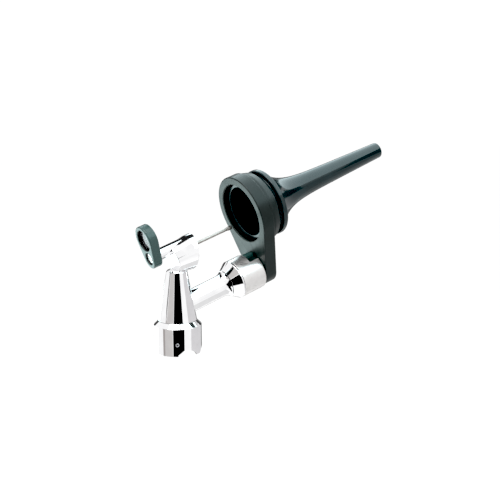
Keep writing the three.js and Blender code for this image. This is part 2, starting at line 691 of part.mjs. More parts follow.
// The pivot screw's head sits in the frame's recess; its nut is in the barrel's boss.
function pivotScrew() {
  const headEnd = FRAME_BACK + RECESS_DEPTH - FIT;
  const headStart = headEnd - PIVOT_HEAD_HEIGHT;
  const body = turned([
    [0, headStart], [PIVOT_HEAD_RADIUS - 0.3, headStart], [PIVOT_HEAD_RADIUS, headStart + 0.4],
    [PIVOT_HEAD_RADIUS, headEnd], [PIVOT_RADIUS, headEnd], [PIVOT_RADIUS, PIVOT_END], [0, PIVOT_END],
  ]);
  return piece('pivot_screw', raised(body, PIVOT_HEIGHT), satinSteel);
}

function pivotBush() {
  const inner = PIVOT_RADIUS + FIT;
  const body = ring(inner, PIVOT_STACK_RADIUS, PIVOT_BUSH_START, PIVOT_NUT_START - FIT, 24);
  return piece('pivot_bush', raised(body, PIVOT_HEIGHT), brass);
}

// A dished washer that presses the frame against the boss, so that the lens stays put.
function pivotSpringWasher() {
  const inner = PIVOT_RADIUS + FIT;
  const start = PIVOT_WASHER_START;
  const end = PIVOT_BUSH_START - FIT;
  const body = turned([
    [inner, start], [inner + 0.4, start], [PIVOT_STACK_RADIUS, end - 0.5],
    [PIVOT_STACK_RADIUS, end], [PIVOT_STACK_RADIUS - 0.3, end], [inner, start + 0.5],
  ], 24);
  return piece('pivot_spring_washer', raised(body, PIVOT_HEIGHT), springSteel);
}

function pivotNut() {
  const outline = hexagonWithBore(PIVOT_STACK_RADIUS, PIVOT_RADIUS + FIT);
  const body = raised(extruded(outline, PIVOT_NUT_START, PIVOT_NUT_END), PIVOT_HEIGHT);
  return piece('pivot_nut', body, springSteel);
}

// ---------------------------------------------------------------- lamp

function lampBase() {
  const floor = LAMP_BOTTOM + LAMP_FLOOR;
  const edge = 0.3;
  const body = turned([
    [INSULATOR_NECK + FIT, LAMP_BOTTOM], [LAMP_RADIUS - edge, LAMP_BOTTOM],
    [LAMP_RADIUS, LAMP_BOTTOM + edge], [LAMP_RADIUS, LAMP_TOP - edge],
    [LAMP_RADIUS - edge, LAMP_TOP], [BULB_RADIUS + FIT, LAMP_TOP], [BULB_RADIUS + FIT, floor],
    [INSULATOR_NECK + FIT, floor],
  ]);
  return piece('lamp_base', body, brass);
}

function lampInsulator() {
  const bottom = LAMP_BOTTOM - 0.9;
  const top = LAMP_BOTTOM + LAMP_FLOOR - FIT;
  const body = turned([
    [INSULATOR_BORE, bottom], [INSULATOR_RADIUS, bottom], [INSULATOR_RADIUS, LAMP_BOTTOM - FIT],
    [INSULATOR_NECK, LAMP_BOTTOM - FIT], [INSULATOR_NECK, top], [INSULATOR_BORE, top],
  ], 32);
  return piece('lamp_insulator', body, ceramic);
}

function lampContact() {
  const bottom = LAMP_BOTTOM - 1.9;
  const headTop = LAMP_BOTTOM - 1;
  const top = LAMP_BOTTOM + LAMP_FLOOR - FIT;
  const body = turned([
    [0, bottom], [CONTACT_RADIUS - 0.4, bottom], [CONTACT_RADIUS, bottom + 0.3],
    [CONTACT_RADIUS, headTop], [CONTACT_STEM, headTop], [CONTACT_STEM, top], [0, top],
  ], 24);
  return piece('lamp_contact', body, brass);
}

// Half of a dome's outline, from its rim to its top on the axis.
function domeOutline(radius) {
  const steps = 5;
  const outline = [];
  for (let step = 0; step < steps; step += 1) {
    const angle = step / steps * Math.PI / 2;
    outline.push([radius * Math.cos(angle), BULB_CROWN + radius * Math.sin(angle)]);
  }
  outline.push([0, BULB_CROWN + radius]);
  return outline;
}

// A glass capsule, open at its foot where the lead wires enter.
function lampEnvelope() {
  const foot = LAMP_BOTTOM + LAMP_FLOOR + 0.2;
  const hollow = BULB_RADIUS - BULB_WALL;
  const body = turned([
    ...domeOutline(BULB_RADIUS).reverse(), [BULB_RADIUS, foot], [hollow, foot],
    ...domeOutline(hollow),
  ], 20);
  return piece('lamp_envelope', body, clearGlass);
}

// Two lead wires and the coiled filament between them.
function lampFilament() {
  const foot = LAMP_BOTTOM + LAMP_FLOOR + 0.3;
  const leads = [-LEAD_OFFSET, LEAD_OFFSET].map(
    (x) => disc(LEAD_RADIUS, foot, FILAMENT_HEIGHT + LEAD_RADIUS, 8).translate(x, 0, 0),
  );
  const half = LEAD_OFFSET + 0.15;
  const coil = disc(COIL_RADIUS, -half, half, 10).rotateY(Math.PI / 2);
  coil.translate(0, 0, FILAMENT_HEIGHT);
  return piece('lamp_filament', joined(...leads, coil), tungsten);
}

// ---------------------------------------------------------------- assembly

const upright = new THREE.Group();
upright.add(
  baseSkirt(), ...studAngles.map((angle, index) => couplingStud(index)), coneBody(),
  fibreBundle(), bundleFerrule(),
  lampBase(), lampInsulator(), lampContact(), lampEnvelope(), lampFilament(),
);

const tilted = new THREE.Group();
tilted.applyMatrix4(armMatrix);
tilted.add(
  headBarrel(), frontCover(), lightGuideTube(), fibreCore(), armTube(), collarNut(),
  swivelCollar(), thrustWasher(), waveWasher(), lensFrame(), lens(), lensRetainingRing(),
  pivotScrew(), pivotBush(), pivotSpringWasher(), pivotNut(),
);

const holder = new THREE.Group();
holder.rotation.z = HOLDER_TURN;
holder.add(
  holderHub(), stopKey(), swivelShaft(), shaftNut(), speculumHolder(), speculum(), retainingOring(),
);
tilted.add(holder);

const otoscopeHead = new THREE.Group();
otoscopeHead.name = 'operating_otoscope_head';
otoscopeHead.add(upright, tilted);

export default otoscopeHead;
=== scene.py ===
"""Looks of the operating otoscope head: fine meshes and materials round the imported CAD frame."""

import json
import math

import bmesh
import bpy
from mathutils import Matrix, Vector


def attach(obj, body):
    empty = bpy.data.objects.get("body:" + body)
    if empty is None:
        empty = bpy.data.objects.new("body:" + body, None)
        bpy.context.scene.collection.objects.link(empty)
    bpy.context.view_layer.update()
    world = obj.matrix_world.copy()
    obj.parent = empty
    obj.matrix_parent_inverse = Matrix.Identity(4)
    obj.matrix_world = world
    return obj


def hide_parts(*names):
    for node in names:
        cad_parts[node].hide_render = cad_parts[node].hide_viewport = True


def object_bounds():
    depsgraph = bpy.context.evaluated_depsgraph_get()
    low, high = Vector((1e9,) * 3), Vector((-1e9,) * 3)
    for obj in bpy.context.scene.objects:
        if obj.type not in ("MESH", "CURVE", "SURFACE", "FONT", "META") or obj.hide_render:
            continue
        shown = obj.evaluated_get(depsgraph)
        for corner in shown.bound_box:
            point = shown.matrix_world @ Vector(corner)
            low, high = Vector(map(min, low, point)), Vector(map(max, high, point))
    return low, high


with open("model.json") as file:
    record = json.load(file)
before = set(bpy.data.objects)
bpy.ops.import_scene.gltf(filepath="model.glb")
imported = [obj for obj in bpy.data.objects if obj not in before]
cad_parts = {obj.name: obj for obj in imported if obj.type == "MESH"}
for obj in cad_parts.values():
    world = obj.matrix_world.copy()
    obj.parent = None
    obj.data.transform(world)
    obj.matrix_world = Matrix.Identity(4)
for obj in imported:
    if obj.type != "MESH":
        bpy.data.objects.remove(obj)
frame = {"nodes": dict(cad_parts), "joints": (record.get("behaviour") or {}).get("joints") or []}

cad_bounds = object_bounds()

# ---------------------------------------------------------------- places, from the frame

MM = 0.001
ROUND = 144     # sides of the large round pieces
SMALL = 64      # sides of the small round pieces
ARC_STEPS = 5   # steps in a rounded corner
SHARP = math.radians(32)    # edges that turn by more than this stay sharp
ON_AXIS = 1e-6
WELD_DISTANCE = 0.002

joints = {joint["name"]: joint for joint in frame["joints"]}
MILLIMETRES = Matrix.Scale(MM, 4)

# The arm's frame: x is sideways, y is the height above the arm's axis, z runs along the arm.
along = Vector(joints["holder_swivel"]["axis"]).normalized()
sideways = Vector((0, 1, 0))
upward = along.cross(sideways)
arm_frame = Matrix((sideways, upward, along)).transposed().to_4x4()
arm_frame.translation = Vector(joints["holder_swivel"]["pos_m"])

HOLDER_TURN = math.radians(1.2)

UPRIGHT = MILLIMETRES
ARM = arm_frame @ MILLIMETRES
HOLDER = arm_frame @ Matrix.Rotation(HOLDER_TURN, 4, "Z") @ MILLIMETRES


def span(node, place):
    """Lowest and highest corner of a CAD node in a piece's own frame, in millimetres."""
    inverse = place.inverted()
    points = [inverse @ vertex.co for vertex in frame["nodes"][node].data.vertices]
    low = Vector(min(point[axis] for point in points) for axis in range(3))
    high = Vector(max(point[axis] for point in points) for axis in range(3))
    return low, high


def raised(place, height):
    """The same frame, moved up by a height in millimetres."""
    return place @ Matrix.Translation((0, height, 0))


PIVOT_HEIGHT = (ARM.inverted() @ Vector(joints["lens_swing"]["pos_m"])).y
LENS_HEIGHT = sum(corner.y for corner in span("lens", ARM)) / 2
LENS_APERTURE = 4.9
RECESS_RADIUS = 2.8

# ---------------------------------------------------------------- mesh tools


def rounded(corners, closed=False):
    """A profile with arcs at its corners. A corner is (x, y) or (x, y, radius)."""
    points = [Vector(corner[:2]) for corner in corners]
    radii = [corner[2] if len(corner) > 2 else 0 for corner in corners]
    last = len(points) - 1
    outline = []
    for index, (point, radius) in enumerate(zip(points, radii)):
        if radius == 0 or (not closed and index in (0, last)):
            outline.append(tuple(point))
            continue
        to_before = (points[index - 1] - point).normalized()
        to_after = (points[(index + 1) % len(points)] - point).normalized()
        half = to_before.angle(to_after) / 2
        reach = radius / math.tan(half)
        centre = point + (to_before + to_after).normalized() * (radius / math.sin(half))
        start = point + to_before * reach - centre
        end = point + to_after * reach - centre
        sweep = start.angle_signed(end)
        for step in range(ARC_STEPS + 1):
            turn = Matrix.Rotation(-sweep * step / ARC_STEPS, 2)
            outline.append(tuple(centre + turn @ start))
    return outline


def skin(loops, closed):
    """A mesh through loops of points; a loop of one point is a pole, and open ends are capped."""
    mesh = bmesh.new()
    rows = [[mesh.verts.new(point) for point in loop] for loop in loops]
    pairs = list(zip(rows, rows[1:]))
    if closed:
        pairs.append((rows[-1], rows[0]))
    for first, second in pairs:
        count = max(len(first), len(second))
        for k in range(count):
            corners = [first[k % len(first)], first[(k + 1) % len(first)],
                       second[(k + 1) % len(second)], second[k % len(second)]]
            corners = list(dict.fromkeys(corners))
            if len(corners) > 2:
                mesh.faces.new(corners)
    if not closed:
        for row in (rows[0], rows[-1]):
            if len(row) > 2:
                mesh.faces.new(row)
    bmesh.ops.recalc_face_normals(mesh, faces=mesh.faces)
    return mesh


def circle(sides):
    """Points round a circle with a radius of one."""
    angles = [2 * math.pi * k / sides for k in range(sides)]
    return [(math.cos(angle), math.sin(angle)) for angle in angles]


def as_object(name, mesh, place):
    """An object of a mesh that is made in a piece's own frame, in millimetres."""
    mesh.transform(place)
    data = bpy.data.meshes.new(name)
    mesh.to_mesh(data)
    mesh.free()
    piece = bpy.data.objects.new(name, data)
    bpy.context.scene.collection.objects.link(piece)
    return piece


def lathe(name, corners, place, segments=ROUND):
    """A solid turned about the z axis from (radius, z, corner radius) corners."""
    closed = corners[0][0] > 0 or corners[-1][0] > 0
    loops = []
    for radius, z in rounded(corners, closed):
        if radius < ON_AXIS:
            loops.append([(0, 0, z)])
            continue
        loops.append([(radius * x, radius * y, z) for x, y in circle(segments)])
    return as_object(name, skin(loops, closed), place)


def disc(name, radius, start, end, place, segments=SMALL):
    """A plain round solid, mostly used to cut a hole."""
    return lathe(name, [(0, start), (radius, start), (radius, end), (0, end)], place, segments)


def prism(name, outline, start, end, place):
    """A prism of an outline in the x-y plane."""
    loops = [[(x, y, z) for x, y in outline] for z in (start, end)]
    return as_object(name, skin(loops, False), place)


def block(name, low, high, place):
    """A box between two corners."""
    outline = [(low[0], low[1]), (high[0], low[1]), (high[0], high[1]), (low[0], high[1])]
    return prism(name, outline, low[2], high[2], place)


def belt(lower, upper, inset=0, steps=56):
    """The outline of a belt round two circles, each (height, radius), pulled in by an inset."""
    lean = math.asin((lower[1] - upper[1]) / (upper[0] - lower[0]))
    points = []
    for (height, radius), first, last in ((upper, lean, math.pi - lean),
                                          (lower, math.pi - lean, 2 * math.pi + lean)):
        for step in range(steps + 1):
            angle = first + (last - first) * step / steps
            points.append(((radius - inset) * math.cos(angle),
                           height + (radius - inset) * math.sin(angle)))
    return points


def belt_plate(name, lower, upper, start, end, edge, place):
    """A belt-shaped plate with rounded edges."""
    loops = []
    side = [(edge * 2, start), (0, start, edge), (0, end, edge), (edge * 2, end)]
    for inset, z in rounded(side):
        loops.append([(x, y, z) for x, y in belt(lower, upper, inset)])
    return as_object(name, skin(loops, False), place)


def baked(piece):
    """Applies a piece's modifiers."""
    graph = bpy.context.evaluated_depsgraph_get()
    data = bpy.data.meshes.new_from_object(piece.evaluated_get(graph))
    piece.modifiers.clear()
    piece.data = data
    return piece


def combine(piece, operation, *others):
    """Joins or cuts a piece with other solids, which are used up."""
    for other in others:
        modifier = piece.modifiers.new(operation.lower(), "BOOLEAN")
        modifier.operation = operation
        modifier.object = other
        modifier.solver = "EXACT"
    baked(piece)
    for other in others:
        bpy.data.objects.remove(other)
    return piece


def cut(piece, *tools):
    return combine(piece, "DIFFERENCE", *tools)


def join(piece, *others):
    return combine(piece, "UNION", *others)


def round_edges(piece, width, where, place=UPRIGHT, steps=3):
    """Rounds the sharp edges whose middle, in a piece's own frame, passes the test."""
    inverse = place.inverted()
    mesh = bmesh.new()
    mesh.from_mesh(piece.data)
    bmesh.ops.remove_doubles(mesh, verts=mesh.verts, dist=WELD_DISTANCE * MM)
    bmesh.ops.dissolve_degenerate(mesh, edges=mesh.edges, dist=WELD_DISTANCE * MM)
    chosen = []
    for edge in mesh.edges:
        middle = inverse @ ((edge.verts[0].co + edge.verts[1].co) / 2)
        if edge.is_manifold and edge.calc_face_angle(0) > SHARP and where(middle):
            chosen.append(edge)
    bmesh.ops.bevel(mesh, geom=chosen, offset=width * MM, segments=steps, profile=0.5,
                    affect="EDGES", clamp_overlap=True)
    mesh.to_mesh(piece.data)
    mesh.free()
    return piece


def dress(piece, body, slot, material, *nodes):
    """Gives a piece its shading and material, hangs it on its body and hides the CAD nodes that it
    stands for; its slot is not used.
    """
    piece.data.materials.clear()
    piece.data.materials.append(material)
    piece.data.shade_smooth()
    piece.data.set_sharp_from_angle(angle=SHARP)
    normals = piece.modifiers.new("normals", "WEIGHTED_NORMAL")
    normals.keep_sharp = True
    baked(piece)
    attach(piece, body)
    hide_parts(*nodes)
    return piece


# ---------------------------------------------------------------- material tools


class Surface:
    """A material whose detail comes from noise in the piece's own coordinates."""

    def __init__(self, name):
        self.material = bpy.data.materials.new(name)
        self.material.use_nodes = True
        self.nodes = self.material.node_tree.nodes
        self.links = self.material.node_tree.links
        self.shader = self.nodes["Principled BSDF"]
        self.place = self.nodes.new("ShaderNodeTexCoord").outputs["Object"]

    def set(self, **values):
        for name, value in values.items():
            self.shader.inputs[name.replace("_", " ")].default_value = value
        return self

    def noise(self, scale, detail=3.0, stretch=(1, 1, 1), tilt=0.0):
        """Noise with a scale in cells per metre, stretched along the axes of a tilted frame."""
        mapping = self.nodes.new("ShaderNodeMapping")
        mapping.inputs["Rotation"].default_value = (0, tilt, 0)
        mapping.inputs["Scale"].default_value = stretch
        texture = self.nodes.new("ShaderNodeTexNoise")
        texture.inputs["Scale"].default_value = scale
        texture.inputs["Detail"].default_value = detail
        self.links.new(self.place, mapping.inputs["Vector"])
        self.links.new(mapping.outputs["Vector"], texture.inputs["Vector"])
        return texture.outputs["Fac"]

    def ranged(self, source, low, high, start=0.3, end=0.7):
        """Maps a value from start..end to low..high."""
        node = self.nodes.new("ShaderNodeMapRange")
        ends = {"From Min": start, "From Max": end, "To Min": low, "To Max": high}
        for name, value in ends.items():
            node.inputs[name].default_value = value
        self.links.new(source, node.inputs["Value"])
        return node.outputs["Result"]

    def ramp(self, source, low, high, start=0.3, end=0.7):
        """A colour between two, by a value from start..end."""
        node = self.nodes.new("ShaderNodeValToRGB")
        first, last = node.color_ramp.elements
        first.position, first.color = start, (*low, 1)
        last.position, last.color = end, (*high, 1)
        self.links.new(source, node.inputs["Fac"])
        return node.outputs["Color"]

    def add(self, first, second):
        node = self.nodes.new("ShaderNodeMath")
        node.operation = "ADD"
        self.links.new(first, node.inputs[0])
        self.links.new(second, node.inputs[1])
        return node.outputs["Value"]

    def inside(self, place, radius):
        """A mask that is 1 within a radius, in millimetres, of the z axis of a piece's frame."""
        location, rotation, scale = place.inverted().decompose()
        mapping = self.nodes.new("ShaderNodeMapping")
        mapping.inputs["Location"].default_value = location
        mapping.inputs["Rotation"].default_value = rotation.to_euler()
        mapping.inputs["Scale"].default_value = scale
        flat = self.nodes.new("ShaderNodeVectorMath")
        flat.operation = "MULTIPLY"
        flat.inputs[1].default_value = (1, 1, 0)
        length = self.nodes.new("ShaderNodeVectorMath")
        length.operation = "LENGTH"
        self.links.new(self.place, mapping.inputs["Vector"])
        self.links.new(mapping.outputs["Vector"], flat.inputs[0])
        self.links.new(flat.outputs["Vector"], length.inputs[0])
        return self.ranged(length.outputs["Value"], 1, 0, radius, radius + 0.05)

    def mixed(self, mask, first, second):
        """The first colour where the mask is 0 and the second where it is 1."""
        node = self.nodes.new("ShaderNodeMix")
        node.data_type = "RGBA"
        self.links.new(mask, node.inputs["Factor"])
        self.links.new(first, node.inputs["A"])
        node.inputs["B"].default_value = (*second, 1)
        return node.outputs["Result"]

    def color(self, source):
        self.links.new(source, self.shader.inputs["Base Color"])
        return self

    def roughness(self, source):
        self.links.new(source, self.shader.inputs["Roughness"])
        return self

    def bump(self, source, height, strength=1.0):
        """Bump with a height in millimetres."""
        node = self.nodes.new("ShaderNodeBump")
        node.inputs["Strength"].default_value = strength
        node.inputs["Distance"].default_value = height * MM
        self.links.new(source, node.inputs["Height"])
        self.links.new(node.outputs["Normal"], self.shader.inputs["Normal"])
        return self


# ---------------------------------------------------------------- materials


def chrome_material():
    """Polished plate with faint smudges and hairline scratches."""
    surface = Surface("chrome").set(Metallic=1.0)
    smudges = surface.noise(260)
    scratches = surface.noise(900, 2, stretch=(1, 1, 14), tilt=0.5)
    surface.color(surface.ramp(smudges, (0.86, 0.86, 0.87), (0.93, 0.93, 0.935)))
    rough = surface.add(surface.ranged(smudges, 0.015, 0.045),
                        surface.ranged(scratches, 0.0, 0.06, 0.64, 0.8))
    surface.roughness(rough)
    return surface.bump(surface.noise(160, 1), 0.004).material


def satin_material():
    """Fine satin turning marks round the arm's axis."""
    surface = Surface("satin_steel").set(Metallic=1.0)
    tilt = math.asin(along.z)
    lines = surface.noise(60, 4, stretch=(1, 1, 90), tilt=tilt)
    patches = surface.noise(220)
    surface.color(surface.ramp(patches, (0.74, 0.725, 0.715), (0.83, 0.82, 0.81)))
    rough = surface.add(surface.ranged(lines, 0.24, 0.36), surface.ranged(patches, 0.0, 0.05))
    surface.roughness(rough)
    return surface.bump(lines, 0.003).material


def turned_metal_material(name, dark, light, rough):
    """Plain turned metal of the light guide, screws, washers, studs and lamp parts."""
    surface = Surface(name).set(Metallic=1.0)
    lines = surface.noise(120, 3, stretch=(1, 1, 40))
    patches = surface.noise(500)
    surface.color(surface.ramp(patches, dark, light))
    surface.roughness(surface.ranged(patches, rough - 0.06, rough + 0.08))
    return surface.bump(lines, 0.004).material


def spring_steel_material():
    return turned_metal_material("spring_steel", (0.42, 0.43, 0.45), (0.58, 0.59, 0.61), 0.26)


def brass_material():
    return turned_metal_material("brass", (0.55, 0.38, 0.13), (0.72, 0.54, 0.22), 0.3)


def tungsten_material():
    return turned_metal_material("tungsten", (0.3, 0.29, 0.28), (0.42, 0.4, 0.38), 0.4)


def shaded_guide_material():
    """The light guide's tube, a little darker than the satin steel of its slot, as painted shade.
    """
    return turned_metal_material("guide_steel_shaded", (0.3, 0.28, 0.26), (0.42, 0.395, 0.375), 0.3)


def moulded_material(name, dark, light, rough, grain, edge_wear_and_sheen, gloss, *painted_shade_hollows):
    """Moulded plastic: cloudy colour, fine grain, convex edges lighter as edge wear with a painted
    edge highlight, and painted shade: black in listed hollows.
    """
    surface = Surface(name).set(Specular_IOR_Level=gloss)
    clouds = surface.noise(140, 4)
    edge_sharpness = surface.nodes.new("ShaderNodeNewGeometry").outputs["Pointiness"]
    # Convex edges turn lighter: edge wear together with a painted edge highlight.
    color = surface.mixed(surface.ranged(edge_sharpness, 0.0, 0.55, 0.52, 0.6),
                          surface.ramp(clouds, dark, light), edge_wear_and_sheen)
    # Painted shade: each listed hollow is coloured black, standing in for the shade inside it.
    for place, radius in painted_shade_hollows:
        color = surface.mixed(surface.inside(place, radius), color, (0.001, 0.001, 0.001))
    surface.color(color)
    surface.roughness(surface.ranged(clouds, rough - 0.05, rough + 0.06))
    return surface.bump(surface.noise(grain, 2), 0.006).material


def holder_material():
    return moulded_material("holder_plastic", (0.004, 0.010, 0.009), (0.008, 0.017, 0.016),
                            0.33, 5200, (0.04, 0.055, 0.052), 0.34)


def frame_material():
    """Teal plastic, with painted shade: black inside the lens's opening and the pivot's recess."""
    return moulded_material("frame_plastic", (0.012, 0.046, 0.043), (0.020, 0.066, 0.061),
                            0.3, 4800, (0.07, 0.15, 0.14), 0.7,
                            (raised(ARM, LENS_HEIGHT), LENS_APERTURE + 0.1),
                            (raised(ARM, PIVOT_HEIGHT), RECESS_RADIUS + 0.05))


def speculum_material():
    surface = Surface("speculum_plastic").set(Specular_IOR_Level=0.55)
    clouds = surface.noise(90, 3)
    surface.color(surface.ramp(clouds, (0.003, 0.014, 0.016), (0.006, 0.022, 0.025)))
    surface.roughness(surface.ranged(surface.noise(320, 4), 0.08, 0.17))
    return surface.bump(surface.noise(1500, 2), 0.002).material


def lens_material():
    """Grey, faintly rosy glass with a few specks of dust."""
    surface = Surface("lens_glass").set(Transmission_Weight=1.0, IOR=1.52, Specular_IOR_Level=0.1)
    dust = surface.noise(2600, 2)
    surface.color(surface.ramp(dust, (0.34, 0.3, 0.32), (0.28, 0.25, 0.26), 0.6, 0.8))
    surface.roughness(surface.ranged(dust, 0.0, 0.15, 0.62, 0.8))
    return surface.bump(surface.noise(300), 0.0005).material


def lamp_glass_material():
    surface = Surface("lamp_glass").set(Transmission_Weight=1.0, IOR=1.47)
    haze = surface.noise(400)
    surface.color(surface.ramp(haze, (0.96, 0.97, 0.97), (0.99, 0.99, 0.99)))
    surface.roughness(surface.ranged(haze, 0.0, 0.04))
    return surface.bump(haze, 0.002).material


def fibre_material():
    """The polished end of a bundle of fine glass fibres."""
    surface = Surface("optical_fibre")
    cells = surface.nodes.new("ShaderNodeTexVoronoi")
    cells.inputs["Scale"].default_value = 9000
    surface.links.new(surface.place, cells.inputs["Vector"])
    surface.color(surface.ramp(cells.outputs["Distance"], (0.82, 0.8, 0.72), (0.4, 0.38, 0.33)))
    surface.roughness(surface.ranged(cells.outputs["Distance"], 0.15, 0.4, 0.0, 0.8))
    return surface.bump(cells.outputs["Distance"], 0.004).material


def rubber_material():
    surface = Surface("black_rubber")
    patches = surface.noise(900, 4)
    surface.color(surface.ramp(patches, (0.012, 0.012, 0.012), (0.03, 0.03, 0.03)))
    surface.roughness(surface.ranged(patches, 0.55, 0.75))
    return surface.bump(surface.noise(6000, 2), 0.008).material


def ceramic_material():
    surface = Surface("ceramic")
    patches = surface.noise(700, 4)
    surface.color(surface.ramp(patches, (0.72, 0.69, 0.62), (0.84, 0.82, 0.76)))
    surface.roughness(surface.ranged(patches, 0.6, 0.8))
    return surface.bump(surface.noise(5200, 3), 0.01).material


materials = {
    "chrome": chrome_material(),
    "satin_steel": satin_material(),
    "spring_steel": spring_steel_material(),
    "brass": brass_material(),
    "tungsten": tungsten_material(),
    "holder_plastic": holder_material(),
    "frame_plastic": frame_material(),
    "speculum_plastic": speculum_material(),
    "lens_glass": lens_material(),
    "lamp_glass": lamp_glass_material(),
    "optical_fibre": fibre_material(),
    "black_rubber": rubber_material(),
    "ceramic": ceramic_material(),
}


def finish(piece, body, slot, *nodes):
    """Dresses a piece in its slot's own material."""
    return dress(piece, body, slot, materials[slot], *nodes)


# ---------------------------------------------------------------- skirt and studs

skirt_high = span("base_skirt", UPRIGHT)[1]
SKIRT_RADIUS = skirt_high.y
SKIRT_TOP = skirt_high.z
SKIRT_WALL_TOP = 12.9
SKIRT_CEILING = 11.9
SKIRT_BORE = 9.6
SPIGOT_HOLE = 7
CONE_FOOT = 8.9
NOTCH_OUTLINE = ((-4.3, -1), (-4.3, 0.9), (-1.2, 3.4), (2.9, 2.3), (4.5, 0.9), (5.7, -1))
NOTCHES = ((-95, 1), (-27, -1), (85, 1))    # angle, and the way its long ramp points
NOTCH_TOP = 4
STUD_ANGLES = (-120, 0, 120)
STUD_RADIUS = 0.9
STUD_START = 8.5
STUD_DIMPLE = 0.45
stud_ends = span("coupling_stud_2", UPRIGHT)
STUD_HEIGHT = (stud_ends[0].z + stud_ends[1].z) / 2


def notch_tool(angle, side):
    """One notch of the bottom rim; side is -1 where its long ramp points the other way."""
    outline = [(x * side, y) for x, y in NOTCH_OUTLINE]
    standing = Matrix(((0, 0, 1), (1, 0, 0), (0, 1, 0))).to_4x4()
    turn = Matrix.Rotation(math.radians(angle), 4, "Z")
    place = UPRIGHT @ turn @ standing
    return prism("notch", outline, SKIRT_BORE - 2, SKIRT_RADIUS + 2, place)


def stud_frame(angle):
    """A frame on the vertical axis at the studs' height, whose z axis points outwards."""
    turn = Matrix.Rotation(math.radians(angle), 4, "Z") @ Matrix.Rotation(math.pi / 2, 4, "Y")
    return UPRIGHT @ Matrix.Translation((0, 0, STUD_HEIGHT)) @ turn


def make_skirt():
    corners = [
        (SKIRT_BORE, 0, 0.2), (SKIRT_RADIUS, 0, 0.35), (SKIRT_RADIUS, SKIRT_WALL_TOP, 0.3),
        (CONE_FOOT, SKIRT_TOP, 0.15), (SPIGOT_HOLE, SKIRT_TOP), (SPIGOT_HOLE, SKIRT_CEILING),
        (SKIRT_BORE, SKIRT_CEILING, 0.3),
    ]
    skirt = lathe("skirt", corners, UPRIGHT)
    notches = [notch_tool(angle, side) for angle, side in NOTCHES]
    hole_radius = STUD_RADIUS + 0.05
    holes = [disc("hole", hole_radius, STUD_START - 0.5, SKIRT_RADIUS + 1, stud_frame(angle), 32)
             for angle in STUD_ANGLES]
    cut(skirt, *notches, *holes)
    round_edges(skirt, 0.16, lambda middle: middle.z < NOTCH_TOP)
    finish(skirt, "head", "chrome", "base_skirt")


def make_studs():
    outer = SKIRT_RADIUS + 0.1
    corners = [
        (0, STUD_START), (STUD_RADIUS, STUD_START, 0.25), (STUD_RADIUS, outer - 0.2, 0.2),
        (STUD_DIMPLE, outer, 0.2), (0, outer),
    ]
    for index, angle in enumerate(STUD_ANGLES, 1):
        stud = lathe(f"stud_{index}", corners, stud_frame(angle), 40)
        finish(stud, "head", "spring_steel", f"coupling_stud_{index}")


# ---------------------------------------------------------------- cone, barrel and arm

SPIGOT_RADIUS = 6.9
SPIGOT_BOTTOM = 12.3
SHOULDER_HEIGHT = 15
CONE_TOP = 38.3
CONE_TOP_RADIUS = 4.8
LAMP_BORE = 4.7
BULB_BORE = 2.6
BULB_BORE_START = 28.5
BULB_BORE_END = 35.2
BUNDLE_OFFSET = 1.3
BUNDLE_HOLE = 1.8
BARREL_HEIGHT = 22.2
BARREL_BACK = 4.6
BARREL_FLARE_END = 14
BARREL_BLANK_END = 22
BARREL_FRONT = 7.4          # the barrel's front is an upright plane at this x
BARREL_RADII = (6.5, 7.95)
BARREL_WALL = 0.9
BARREL_EDGE = 0.3
BARREL_FRONT_EDGE = 0.7
BOSS_RADIUS = 2.7
BOSS_WALL = 0.5
BOSS_START = -1.5
BOSS_END = 12
POCKET_START = 0.4
PIVOT_HOLE = 1.1
GUIDE_HEIGHT = sum(corner.y for corner in span("light_guide_tube", ARM)) / 2
GUIDE_RADIUS = 0.7
GUIDE_BORE = 0.45
GUIDE_TIP_RADIUS = 0.95
ARM_RADIUS = 5.1
ARM_START = 4
ARM_BORE = 4.3
ARM_BORE_START = 11
ARM_FLARE_START = 23.2
ARM_FLARE_POWER = 2.6
CONE_BORE = 4.85


def barrel_solid(name, back, growth, rounding=0.0):
    """The barrel's shape as a solid that widens from its back, grown by a margin."""
    start, end = BARREL_RADII[0] + growth, BARREL_RADII[1] + growth
    return lathe(name, [
        (0, back), (start, back, rounding), (end, BARREL_FLARE_END, 2), (end, BARREL_BLANK_END),
        (0, BARREL_BLANK_END),
    ], raised(ARM, BARREL_HEIGHT))


def in_front_of(x):
    """Everything in front of an upright plane."""
    return block("front", (x, -30, 10), (x + 60, 30, 90), UPRIGHT)


def behind_of(x):
    """Everything behind an upright plane."""
    return block("behind", (-40, -30, 0), (x, 30, 90), UPRIGHT)


def bundle_hole():
    """The hole through the cone's top and the barrel's bottom for the fibre bundle."""
    place = UPRIGHT @ Matrix.Translation((BUNDLE_OFFSET, 0, 0))
    return disc("bundle_hole", BUNDLE_HOLE, 30, 41, place, 32)


def in_barrel_bore(point):
    """Whether a point lies within the barrel's bore."""
    local = (ARM.inverted() @ UPRIGHT) @ point
    return math.hypot(local.x, local.y - BARREL_HEIGHT) < BARREL_RADII[1] - BARREL_WALL / 2


def make_cone():
    corners = [
        (LAMP_BORE, SPIGOT_BOTTOM, 0.1), (SPIGOT_RADIUS, SPIGOT_BOTTOM, 0.2),
        (SPIGOT_RADIUS, SHOULDER_HEIGHT), (CONE_FOOT, SHOULDER_HEIGHT, 0.12),
        (CONE_TOP_RADIUS, CONE_TOP - 0.7, 0.3), (CONE_TOP_RADIUS - 0.6, CONE_TOP, 0.1),
        (0, CONE_TOP), (0, BULB_BORE_END), (BULB_BORE, BULB_BORE_END),
        (BULB_BORE, BULB_BORE_START), (LAMP_BORE, BULB_BORE_START - 2.5),
    ]
    cone = lathe("cone", corners, UPRIGHT)
    saddle = barrel_solid("saddle", BARREL_BACK - 0.04, 0.04, BARREL_EDGE)
    arm_hole = disc("arm_hole", ARM_RADIUS + 0.02, ARM_START - 0.3, 20, ARM, ROUND)
    cut(cone, saddle, arm_hole, bundle_hole())
    finish(cone, "head", "chrome", "cone_body")


